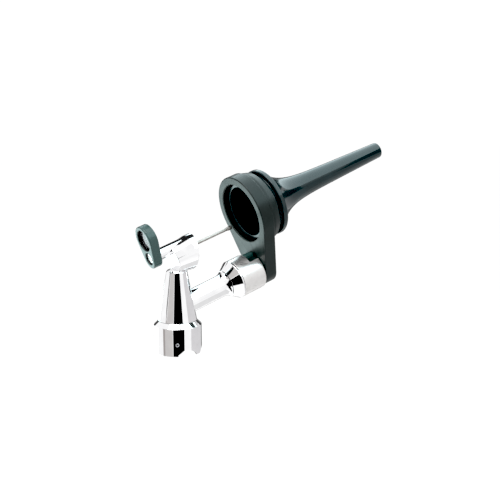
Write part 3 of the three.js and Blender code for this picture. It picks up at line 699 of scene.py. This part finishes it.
def make_barrel():
    barrel = barrel_solid("barrel", BARREL_BACK, 0, BARREL_EDGE)
    pivot_place = raised(ARM, PIVOT_HEIGHT)
    boss_corners = [
        (0, BOSS_START), (BOSS_RADIUS, BOSS_START, 0.3), (BOSS_RADIUS, BOSS_END), (0, BOSS_END),
    ]
    join(barrel, lathe("boss", boss_corners, pivot_place, SMALL))
    inside = barrel_solid("inside", BARREL_BACK + BARREL_WALL, -BARREL_WALL)
    pocket = disc("pocket", BOSS_RADIUS - BOSS_WALL, POCKET_START, BOSS_END + 1, pivot_place)
    hole_start, hole_end = BOSS_START - 1.5, POCKET_START + 1.6
    screw_hole = disc("screw_hole", PIVOT_HOLE, hole_start, hole_end, pivot_place, 40)
    cut(barrel, inside, pocket, screw_hole, bundle_hole(), in_front_of(BARREL_FRONT))

    def on_front_rim(middle):
        return middle.x > BARREL_FRONT - 0.05 and not in_barrel_bore(middle)

    round_edges(barrel, BARREL_FRONT_EDGE, on_front_rim, steps=5)
    finish(barrel, "head", "chrome", "head_barrel")


def make_barrel_cover():
    cover = barrel_solid("barrel_cover", BARREL_BACK + 2 * BARREL_WALL, -BARREL_WALL - 0.05)
    front = BARREL_FRONT + 0.2
    hole = disc("hole", GUIDE_RADIUS + 0.05, 5, 30, raised(ARM, GUIDE_HEIGHT), 40)
    cut(cover, behind_of(BARREL_FRONT - 1), in_front_of(front), hole)
    round_edges(cover, 0.2, lambda middle: middle.x > front - 0.05)
    finish(cover, "head", "chrome", "front_cover")


def make_guide_tube():
    low, high = span("light_guide_tube", ARM)
    tip = high.z
    corners = [
        (GUIDE_BORE, low.z), (GUIDE_RADIUS, low.z), (GUIDE_RADIUS, tip - 2.4, 0.1),
        (GUIDE_TIP_RADIUS, tip - 2.2, 0.06), (GUIDE_TIP_RADIUS, tip, 0.18),
        (GUIDE_BORE, tip, 0.08),
    ]
    tube = lathe("guide_tube", corners, raised(ARM, GUIDE_HEIGHT), SMALL)
    dress(tube, "head", "satin_steel", shaded_guide_material(), "light_guide_tube")


def make_arm():
    high = span("arm_tube", ARM)[1]
    flare = []
    steps = 14
    for step in range(steps + 1):
        share = step / steps
        radius = ARM_RADIUS + (high.x - ARM_RADIUS) * share ** ARM_FLARE_POWER
        flare.append((radius, ARM_FLARE_START + (high.z - ARM_FLARE_START) * share))
    corners = [
        (0, ARM_START), (ARM_RADIUS, ARM_START), *flare, (ARM_BORE, high.z, 0.1),
        (ARM_BORE, ARM_BORE_START), (0, ARM_BORE_START),
    ]
    arm = lathe("arm", corners, ARM)
    cut(arm, disc("bore", CONE_BORE, 5, 40, UPRIGHT, ROUND))
    finish(arm, "head", "chrome", "arm_tube")


# ---------------------------------------------------------------- swivel

nut_low, nut_high = span("collar_nut", ARM)
collar_low, collar_high = span("swivel_collar", ARM)
COLLAR_RADIUS = collar_high.x
COLLAR_BORE = 7.6
COLLAR_WALL_END = 34.4
NUT_BORE = 5.5
NUT_BACK_RADIUS = 6.35
SHAFT_HOLE = 2.8
SHAFT_RADIUS = 2.7
SCREW_HEAD_RADIUS = 4.4
SCREW_HEAD_HEIGHT = 1.9
SCREW_SLOT_HALF_WIDTH = 0.5
NOTCH_START = 39.6
NOTCH_HALF_ANGLE = math.radians(42)
KEY_SLOT_HALF_WIDTH = 1.9


def make_bevel_nut():
    start, end = nut_low.z, nut_high.z
    corners = [
        (NUT_BORE, start), (NUT_BACK_RADIUS, start, 0.12), (COLLAR_RADIUS, end - 0.7, 0.3),
        (COLLAR_RADIUS, end, 0.12), (NUT_BORE, end),
    ]
    nut = lathe("bevel_nut", corners, ARM)
    finish(nut, "head", "chrome", "collar_nut")


def notch_outline(steps=40):
    """The sector of a ring that the stop key can move in."""
    angles = [math.pi / 2 + NOTCH_HALF_ANGLE * (2 * step / steps - 1) for step in range(steps + 1)]
    outer, inner = 12, 6
    outline = [(outer * math.cos(angle), outer * math.sin(angle)) for angle in angles]
    outline += [(inner * math.cos(angle), inner * math.sin(angle)) for angle in reversed(angles)]
    return outline


def make_collar():
    start, end = collar_low.z, collar_high.z
    corners = [
        (SHAFT_HOLE, start), (COLLAR_RADIUS, start, 0.2), (COLLAR_RADIUS, end, 0.35),
        (COLLAR_BORE, end, 0.2), (COLLAR_BORE, COLLAR_WALL_END), (SHAFT_HOLE, COLLAR_WALL_END),
    ]
    collar = lathe("collar_sleeve", corners, ARM)
    cut(collar, prism("notch", notch_outline(), NOTCH_START, end + 1, ARM))

    def on_notch(middle):
        return middle.y > 4 and middle.z > NOTCH_START - 0.1

    round_edges(collar, 0.15, on_notch, ARM)
    finish(collar, "head", "satin_steel", "swivel_collar")


def make_hub():
    low, high = span("holder_hub", HOLDER)
    corners = [
        (SHAFT_HOLE, low.z), (high.x, low.z, 0.2), (high.x, high.z, 0.15), (SHAFT_HOLE, high.z),
    ]
    hub = lathe("hub", corners, HOLDER)
    slot = block("slot", (-KEY_SLOT_HALF_WIDTH, 6, NOTCH_START + 0.5),
                 (KEY_SLOT_HALF_WIDTH, 10, 47), HOLDER)
    cut(hub, slot)
    finish(hub, "holder", "holder_plastic", "holder_hub")


def make_key():
    low, high = span("stop_key", HOLDER)
    key = block("key", low, high, HOLDER)
    round_edges(key, 0.45, lambda middle: True, steps=4)
    finish(key, "holder", "frame_plastic", "stop_key")


def make_shoulder_screw():
    low, high = span("swivel_shaft", HOLDER)
    head = high.z - SCREW_HEAD_HEIGHT
    corners = [
        (0, low.z), (SHAFT_RADIUS, low.z, 0.3), (SHAFT_RADIUS, head),
        (SCREW_HEAD_RADIUS, head, 0.1), (SCREW_HEAD_RADIUS, high.z - 0.4, 0.3),
        (SCREW_HEAD_RADIUS - 0.5, high.z, 0.2), (0, high.z),
    ]
    screw = lathe("shoulder_screw", corners, HOLDER, SMALL)
    slot = block("slot", (-6, -SCREW_SLOT_HALF_WIDTH, high.z - 0.8),
                 (6, SCREW_SLOT_HALF_WIDTH, high.z + 1), HOLDER)
    cut(screw, slot)

    def on_slot(middle):
        return middle.z > high.z - 0.1 and abs(middle.y) < SCREW_SLOT_HALF_WIDTH + 0.1

    round_edges(screw, 0.08, on_slot, HOLDER)
    finish(screw, "holder", "spring_steel", "swivel_shaft")


# ---------------------------------------------------------------- speculum holder

HOLDER_HEIGHT = 28.7
HOLDER_LOBE = 8.6
HOLDER_RING = 18.1
HOLDER_BORE = 14.25
HOLDER_THICKNESS = 6.2
SCREW_RECESS_RADIUS = 4.6
SCREW_RECESS_START = 3.8
holder_low, holder_high = span("speculum_holder", HOLDER)


def make_holder():
    front, end = holder_low.z, holder_high.z
    back = front + HOLDER_THICKNESS
    lower, upper = (0, HOLDER_LOBE), (HOLDER_HEIGHT, HOLDER_RING)
    plate = belt_plate("holder_plate", lower, upper, front, back, 0.45, HOLDER)
    place = raised(HOLDER, HOLDER_HEIGHT)
    rim = HOLDER_RING - 0.8
    collar = lathe("collar", [
        (0, back - 1), (rim, back - 1), (rim, back + 1.6, 1),
        (HOLDER_RING - 1.6, end, 0.4), (0, end),
    ], place)
    join(plate, collar)
    bore = lathe("bore", [
        (0, front - 1), (HOLDER_BORE + 1.45, front - 1), (HOLDER_BORE + 0.45, front, 0),
        (HOLDER_BORE, front + 0.45, 0.4), (HOLDER_BORE, end - 0.3),
        (HOLDER_BORE + 1.3, end + 1), (0, end + 1),
    ], place)
    shaft_hole = disc("shaft_hole", SHAFT_HOLE, front - 1, 60, HOLDER)
    recess_start = front + SCREW_RECESS_START
    recess = lathe("recess", [
        (0, recess_start), (SCREW_RECESS_RADIUS, recess_start, 0.2),
        (SCREW_RECESS_RADIUS, back - 0.3), (SCREW_RECESS_RADIUS + 1.3, back + 1), (0, back + 1),
    ], HOLDER, SMALL)
    cut(plate, bore, shaft_hole, recess)
    finish(plate, "holder", "holder_plastic", "speculum_holder")


# ---------------------------------------------------------------- speculum

speculum_low, speculum_high = span("speculum", raised(HOLDER, HOLDER_HEIGHT))
SPECULUM_TIP = speculum_high.z
FLANGE_START = 58.4
FLANGE_END = 60.9
FLANGE_RADIUS = speculum_high.x
SPIGOT_OUTER = 13.95
SPIGOT_INNER = 12.2
TUBE_RADII = (6.15, 3.9)
FLARE = 8
FLARE_LENGTH = 8.3
SPECULUM_WALL = 0.9
ORING_POSITION = 52
ORING_THICKNESS = 0.6       # the radius of its section
GROOVE_DEPTH = 1.2
GROOVE_HALF_WIDTH = 0.7


def speculum_radius(position):
    """A straight taper from flange to tip, with a flare that dies out behind the flange."""
    distance = position - FLANGE_END
    share = distance / (SPECULUM_TIP - FLANGE_END)
    taper = TUBE_RADII[0] + (TUBE_RADII[1] - TUBE_RADII[0]) * share
    return taper + FLARE * math.exp(-((distance / FLARE_LENGTH) ** 1.2))


def make_speculum():
    steps = 72
    end = SPECULUM_TIP - 0.5
    places = [FLANGE_END + (end - FLANGE_END) * (step / steps) ** 1.6 for step in range(steps + 1)]
    outer = [(speculum_radius(position), position) for position in places]
    inner = [(radius - SPECULUM_WALL, position) for radius, position in reversed(outer)]
    tip = outer[-1][0]
    groove_start = ORING_POSITION - GROOVE_HALF_WIDTH
    groove_end = ORING_POSITION + GROOVE_HALF_WIDTH
    corners = [
        (SPIGOT_INNER, speculum_low.z, 0.2), (SPIGOT_OUTER, speculum_low.z, 0.5),
        (SPIGOT_OUTER, groove_start, 0.08), (SPIGOT_OUTER - GROOVE_DEPTH, groove_start, 0.15),
        (SPIGOT_OUTER - GROOVE_DEPTH, groove_end, 0.15), (SPIGOT_OUTER, groove_end, 0.08),
        (SPIGOT_OUTER, FLANGE_START, 0.3), (FLANGE_RADIUS, FLANGE_START, 0.55),
        (FLANGE_RADIUS, FLANGE_END, 0.7), (outer[0][0] + 0.05, FLANGE_END), *outer,
        (tip - 0.02, SPECULUM_TIP, 0.36), (tip - SPECULUM_WALL + 0.02, SPECULUM_TIP, 0.36), *inner,
        (SPIGOT_INNER, FLANGE_START + 0.8, 0.6),
    ]
    tube = lathe("ear_speculum", corners, raised(HOLDER, HOLDER_HEIGHT))
    finish(tube, "speculum", "speculum_plastic", "speculum")


def make_sealing_ring():
    centre = SPIGOT_OUTER - 0.5
    steps = 24
    corners = []
    for step in range(steps):
        angle = 2 * math.pi * step / steps
        across, along = ORING_THICKNESS * math.cos(angle), ORING_THICKNESS * math.sin(angle)
        corners.append((centre + across, ORING_POSITION + along))
    ring = lathe("sealing_ring", corners, raised(HOLDER, HOLDER_HEIGHT))
    finish(ring, "speculum", "black_rubber", "retaining_oring")


# ---------------------------------------------------------------- lens

frame_low, frame_high = span("lens_frame", ARM)
FRAME_RADII = (4.75, 6.75)
LENS_SEAT = 5.4
LENS_BULGE = 0.7
RECESS_DEPTH = 2
PIVOT_HEAD_RADIUS = 2.5
PIVOT_HEAD_HEIGHT = 1.2
PIVOT_SLOT_ANGLE = math.radians(35)


def make_lens_frame():
    start, end = frame_low.z, frame_high.z
    plate = belt_plate("lens_mount", (PIVOT_HEIGHT, FRAME_RADII[0]), (LENS_HEIGHT, FRAME_RADII[1]),
                       start, end, 0.5, ARM)
    lens_place = raised(ARM, LENS_HEIGHT)
    pivot_place = raised(ARM, PIVOT_HEIGHT)
    aperture = lathe("aperture", [
        (0, start - 1), (LENS_APERTURE + 1.35, start - 1), (LENS_APERTURE, start + 0.35, 0.3),
        (LENS_APERTURE, 1), (0, 1),
    ], lens_place)
    seat = lathe("seat", [
        (0, start + 1.5), (LENS_SEAT, start + 1.5), (LENS_SEAT, end - 0.2),
        (LENS_SEAT + 1.2, end + 1), (0, end + 1),
    ], lens_place)
    recess = lathe("recess", [
        (0, start - 1), (RECESS_RADIUS + 1.3, start - 1), (RECESS_RADIUS, start + 0.3, 0.25),
        (RECESS_RADIUS, start + RECESS_DEPTH, 0.2), (0, start + RECESS_DEPTH),
    ], pivot_place, SMALL)
    screw_hole = disc("screw_hole", PIVOT_HOLE, start, 1, pivot_place, 40)
    cut(plate, aperture, seat, recess, screw_hole)
    finish(plate, "lens", "frame_plastic", "lens_frame")


def make_lens():
    low, high = span("lens", raised(ARM, LENS_HEIGHT))
    edge = high.x
    steps = 18
    shares = [step / steps for step in range(steps + 1)]
    back = [(edge * share, low.z + LENS_BULGE * share ** 2) for share in shares]
    front = [(edge * share, high.z - LENS_BULGE * share ** 2) for share in reversed(shares)]
    glass = lathe("magnifier", back + front, raised(ARM, LENS_HEIGHT), 96)
    finish(glass, "lens", "lens_glass", "lens")


def make_lens_ring():
    place = raised(ARM, LENS_HEIGHT)
    low, high = span("lens_retaining_ring", place)
    bore = high.x - 0.8
    corners = [(bore, low.z), (high.x, low.z), (high.x, high.z, 0.1), (bore, high.z, 0.25)]
    ring = lathe("lens_ring", corners, place)
    cut(ring, block("slot", (-8, -0.4, high.z - 0.4), (8, 0.4, high.z + 1), place))
    finish(ring, "lens", "frame_plastic", "lens_retaining_ring")


def make_lens_screw():
    place = raised(ARM, PIVOT_HEIGHT)
    low, high = span("pivot_screw", place)
    top = low.z + PIVOT_HEAD_HEIGHT
    shank = PIVOT_HOLE - 0.1
    corners = [
        (0, low.z), (PIVOT_HEAD_RADIUS, low.z, 0.35), (PIVOT_HEAD_RADIUS, top, 0.1),
        (shank, top), (shank, high.z, 0.2), (0, high.z),
    ]
    screw = lathe("lens_screw", corners, place, SMALL)
    turned = place @ Matrix.Rotation(PIVOT_SLOT_ANGLE, 4, "Z")
    cut(screw, block("slot", (-4, -0.3, low.z - 1), (4, 0.3, low.z + 0.55), turned))
    finish(screw, "lens", "satin_steel", "pivot_screw")


# ---------------------------------------------------------------- lamp

BASE_BORE = 1.9
BASE_GROOVE_DEPTH = 0.35
INSULATOR_RADIUS = 3.4
INSULATOR_BORE = 1.2
CONTACT_RADIUS = 1.4
CONTACT_STEM = 1.1
BULB_WALL = 0.5
FILAMENT_HEIGHT = 28
FILAMENT_REACH = 0.8        # how far each lead stands from the lamp's axis
COIL_RADIUS = 0.3
COIL_HALF_LENGTH = 0.65
COIL_TURNS = 9
WIRE_RADIUS = 0.06


def make_lamp():
    """The lamp's metal base, its insulator and its centre contact."""
    low, high = span("lamp_base", UPRIGHT)
    bottom, top, radius = low.z, high.z, high.y
    waist, mouth, ledge = radius - BASE_GROOVE_DEPTH, BASE_BORE + 0.4, bottom + 2.2
    shell = lathe("lamp_socket", [
        (BASE_BORE, bottom, 0.1), (radius, bottom, 0.5), (radius, bottom + 3, 0.15),
        (waist, bottom + 3.3, 0.15), (waist, bottom + 4.2, 0.15), (radius, bottom + 4.5, 0.15),
        (radius, top, 0.4), (mouth, top, 0.2), (mouth, ledge), (BASE_BORE, ledge),
    ], UPRIGHT)
    finish(shell, "lamp", "brass", "lamp_base")
    low, high = span("lamp_insulator", UPRIGHT)
    neck = BASE_BORE - 0.1
    collar = lathe("lamp_collar", [
        (INSULATOR_BORE, low.z, 0.1), (INSULATOR_RADIUS, low.z, 0.3),
        (INSULATOR_RADIUS, bottom - 0.1), (neck, bottom - 0.1), (neck, high.z),
        (INSULATOR_BORE, high.z),
    ], UPRIGHT, SMALL)
    finish(collar, "lamp", "ceramic", "lamp_insulator")
    low, high = span("lamp_contact", UPRIGHT)
    tip = lathe("lamp_tip", [
        (0, low.z), (CONTACT_RADIUS / 2, low.z, 0.4), (CONTACT_RADIUS, low.z + 0.45, 0.2),
        (CONTACT_RADIUS, low.z + 0.9, 0.1), (CONTACT_STEM, low.z + 0.9),
        (CONTACT_STEM, high.z, 0.1), (0, high.z),
    ], UPRIGHT, SMALL)
    finish(tip, "lamp", "brass", "lamp_contact")


def dome(radius, crown, steps=14):
    """Corners of a quarter circle from a bulb's side up to its top."""
    angles = [math.pi / 2 * step / steps for step in range(steps)]
    corners = [(radius * math.cos(angle), crown + radius * math.sin(angle)) for angle in angles]
    return [*corners, (0, crown + radius)]


def make_bulb():
    low, high = span("lamp_envelope", UPRIGHT)
    outer, inner = high.y, high.y - BULB_WALL
    crown = high.z - outer
    corners = [
        *reversed(dome(outer, crown)), (outer, low.z, 0.1), (inner, low.z, 0.1),
        *dome(inner, crown),
    ]
    bulb = lathe("lamp_bulb", corners, UPRIGHT, SMALL)
    finish(bulb, "lamp", "lamp_glass", "lamp_envelope")


def swept(name, route, radius, place, sides=10):
    """A round wire along a list of points."""
    points = [Vector(point) for point in route]
    loops = []
    side = Vector((0, 1, 0))
    for index, point in enumerate(points):
        ahead = points[min(index + 1, len(points) - 1)] - points[max(index - 1, 0)]
        ahead.normalize()
        side = (side - ahead * side.dot(ahead)).normalized()
        other = ahead.cross(side)
        angles = [2 * math.pi * k / sides for k in range(sides)]
        loops.append([point + radius * (side * math.cos(a) + other * math.sin(a)) for a in angles])
    return as_object(name, skin(loops, False), place)


def make_filament():
    """Two lead wires and the coil between them, as one wire."""
    low, high = span("lamp_filament", UPRIGHT)
    reach, height, steps = FILAMENT_REACH, FILAMENT_HEIGHT, 14
    lead = [
        (reach, low.z), (reach, height - 1.2), (reach, height - 0.6), (reach - 0.08, height - 0.3),
    ]
    route = [(-x, 0, z) for x, z in lead]
    for step in range(COIL_TURNS * steps + 1):
        angle = 2 * math.pi * step / steps - math.pi / 2
        x = COIL_HALF_LENGTH * (2 * step / (COIL_TURNS * steps) - 1)
        route.append((x, COIL_RADIUS * math.cos(angle), height + COIL_RADIUS * math.sin(angle)))
    route += [(x, 0, z) for x, z in reversed(lead)]
    wire = swept("lamp_wires", route, WIRE_RADIUS, UPRIGHT)
    finish(wire, "lamp", "tungsten", "lamp_filament")


MAKERS = (
    make_skirt, make_studs, make_cone, make_barrel, make_barrel_cover, make_guide_tube,
    make_arm, make_bevel_nut, make_collar, make_hub, make_key, make_shoulder_screw, make_holder,
    make_speculum, make_sealing_ring, make_lens_frame, make_lens, make_lens_ring,
    make_lens_screw, make_lamp, make_bulb, make_filament,
)
for make in MAKERS:
    make()

# ---------------------------------------------------------------- carried-over CAD pieces

CARRIED = {
    "optical_fibre": ("fibre_core", "fibre_bundle"),
    "brass": ("bundle_ferrule", "pivot_bush"),
    "spring_steel": (
        "wave_washer", "thrust_washer", "shaft_nut", "pivot_spring_washer", "pivot_nut",
    ),
}

for slot_name, nodes in CARRIED.items():
    for node in nodes:
        carried = frame["nodes"][node]
        carried.data.materials.clear()
        carried.data.materials.append(materials[slot_name])

# ---------------------------------------------------------------- camera

LENS_MM = 67.6
AZIMUTH = math.radians(-32.72)
ELEVATION = math.radians(10.48)
ROLL = math.radians(-0.3)
AIM = Vector((32.7, -11.0, 45.7)) * MM
DISTANCE = 0.435

to_camera = Vector((
    math.sin(AZIMUTH) * math.cos(ELEVATION), -math.cos(AZIMUTH) * math.cos(ELEVATION),
    math.sin(ELEVATION),
))
level_right = Vector((math.cos(AZIMUTH), math.sin(AZIMUTH), 0))
level_up = to_camera.cross(level_right)


def make_camera():
    data = bpy.data.cameras.new("camera")
    data.lens = LENS_MM
    data.sensor_width = 36
    data.clip_start = 0.01
    camera = bpy.data.objects.new("camera", data)
    right = math.cos(ROLL) * level_right + math.sin(ROLL) * level_up
    up = to_camera.cross(right)
    pose = Matrix((right, up, to_camera)).transposed().to_4x4()
    pose.translation = AIM + to_camera * DISTANCE
    camera.matrix_world = pose
    bpy.context.scene.collection.objects.link(camera)
    bpy.context.scene.camera = camera


# ---------------------------------------------------------------- studio

CENTRE = (cad_bounds[0] + cad_bounds[1]) / 2
FLOOR_HEIGHT = -0.45
FLOOR_REACH = 6
WORLD_LIGHT = 1.06
BLACK_LEVEL = 0.018         # light at or below this level shows as black


def plain(name, color, rough=0.9):
    material = bpy.data.materials.new(name)
    material.use_nodes = True
    shader = material.node_tree.nodes["Principled BSDF"]
    shader.inputs["Base Color"].default_value = (*color, 1)
    shader.inputs["Roughness"].default_value = rough
    shader.inputs["Specular IOR Level"].default_value = 0
    return material


def glowing(name, level):
    """A card that shows one even grey, whatever light falls on it."""
    material = bpy.data.materials.new(name)
    material.use_nodes = True
    shader = material.node_tree.nodes["Principled BSDF"]
    shader.inputs["Base Color"].default_value = (0, 0, 0, 1)
    shader.inputs["Specular IOR Level"].default_value = 0
    shader.inputs["Emission Color"].default_value = (level[0], level[1], level[2], 1)
    shader.inputs["Emission Strength"].default_value = 1
    return material


def towards(turn, lift):
    """The direction from the object's centre at a turn and a lift in degrees.

    A turn of 0 faces the camera, and it grows towards the camera's right.
    """
    turn, lift = math.radians(turn), math.radians(lift)
    flat = Vector((to_camera.x, to_camera.y, 0)).normalized()
    direction = (flat * math.cos(turn) + level_right * math.sin(turn)) * math.cos(lift)
    direction.z = math.sin(lift)
    return direction


def make_floor():
    mesh = bmesh.new()
    bmesh.ops.create_grid(mesh, x_segments=1, y_segments=1, size=FLOOR_REACH)
    floor = as_object("floor", mesh, Matrix.Translation((0, 0, FLOOR_HEIGHT)))
    floor.data.materials.append(plain("floor_white", (0.96, 0.96, 0.96)))


def stage_card(card, material):
    """Lets a card show only in reflections."""
    card.data.materials.append(material)
    card.visible_camera = False
    card.visible_diffuse = False
    card.visible_shadow = False


def make_card(name, turns, heights, level, distance=0.9, steps=16):
    """A curved card round the object, between two turns and through a list of heights."""
    mesh = bmesh.new()
    rows = []
    for height in heights:
        row = []
        for step in range(steps + 1):
            turn = turns[0] + (turns[1] - turns[0]) * step / steps
            row.append(mesh.verts.new(CENTRE + towards(turn, height) * distance))
        rows.append(row)
    for low_row, high_row in zip(rows, rows[1:]):
        for step in range(steps):
            mesh.faces.new((low_row[step], low_row[step + 1], high_row[step + 1], high_row[step]))
    stage_card(as_object(name, mesh, Matrix.Identity(4)), glowing(name, level))


def make_flag(name, *rungs):
    """A small dark card near the object, through pairs of corners in millimetres."""
    mesh = bmesh.new()
    rows = [[mesh.verts.new(corner) for corner in rung] for rung in rungs]
    for (left, right), (next_left, next_right) in zip(rows, rows[1:]):
        mesh.faces.new((left, right, next_right, next_left))
    stage_card(as_object(name, mesh, MILLIMETRES), glowing(name, (0.03, 0.03, 0.03)))


def make_light(name, size, power, turn, lift, distance):
    """A soft square light, placed like a card and facing the object."""
    data = bpy.data.lights.new(name, "AREA")
    data.shape = "SQUARE"
    data.size = size
    data.energy = power
    light = bpy.data.objects.new(name, data)
    direction = towards(turn, lift)
    light.location = CENTRE + direction * distance
    light.rotation_mode = "QUATERNION"
    light.rotation_quaternion = direction.to_track_quat("Z", "Y")
    bpy.context.scene.collection.objects.link(light)


def make_studio():
    world = bpy.data.worlds.new("studio")
    bpy.context.scene.world = world
    world.use_nodes = True
    background = world.node_tree.nodes["Background"]
    background.inputs["Color"].default_value = (1, 1, 1, 1)
    background.inputs["Strength"].default_value = WORLD_LIGHT
    make_floor()
    make_card("camera_flag", (-21, 31.5), (-35, 0, 13), (0.003, 0.003, 0.003))
    make_card("front_low_flag", (9, 33), (-80, -50, -25), (0.02, 0.02, 0.02), 0.4)
    make_card("left_panel", (-63, -23), (-35, 0, 50), (0.64, 0.62, 0.61))
    make_card("left_edge_low", (-70, -60), (-35, 0), (0.42, 0.39, 0.38), 0.88)
    make_card("left_edge_high", (-74, -66), (0, 50), (0.2, 0.19, 0.19), 0.88)
    make_card("right_panel", (68, 148), (-25, 15), (0.72, 0.71, 0.72))
    make_card("right_low_panel", (60, 148), (-70, -45, -25), (0.84, 0.84, 0.84), 0.5)
    make_card("sky_panel", (35, 215), (26, 55, 84), (2.6, 3.1, 3.2))
    make_card("floor_bounce", (-148, -102), (-52, -30, -10), (2.6, 3.2, 3.2), 0.5)
    make_card("back_panel", (150, 212), (-55, -20, 2, 24), (0.3, 0.3, 0.3), 0.92)
    make_card("back_flag_left", (-163, -140), (1, 26), (0.04, 0.04, 0.04))
    make_card("back_flag_right", (140, 163), (1, 26), (0.04, 0.04, 0.04))
    make_flag("barrel_flag", ((4, 60, 66), (25, 60, 66)), ((2, 58, 88), (24, 58, 88)),
              ((-5, 45, 112), (24, 45, 112)), ((-13, 20, 150), (20, 20, 150)))
    make_flag("speculum_flag", ((150, -82, 79), (150, -82, 128)), ((150, -32, 78), (150, -32, 117)),
              ((150, 12, 78), (150, 12, 104)))
    make_light("top_softbox", 0.5, 4, -40, 62, 0.8)
    view = bpy.context.scene.view_settings
    view.view_transform = "Standard"
    view.use_curve_mapping = True
    view.curve_mapping.black_level = (BLACK_LEVEL,) * 3
    view.curve_mapping.update()


make_camera()
make_studio()
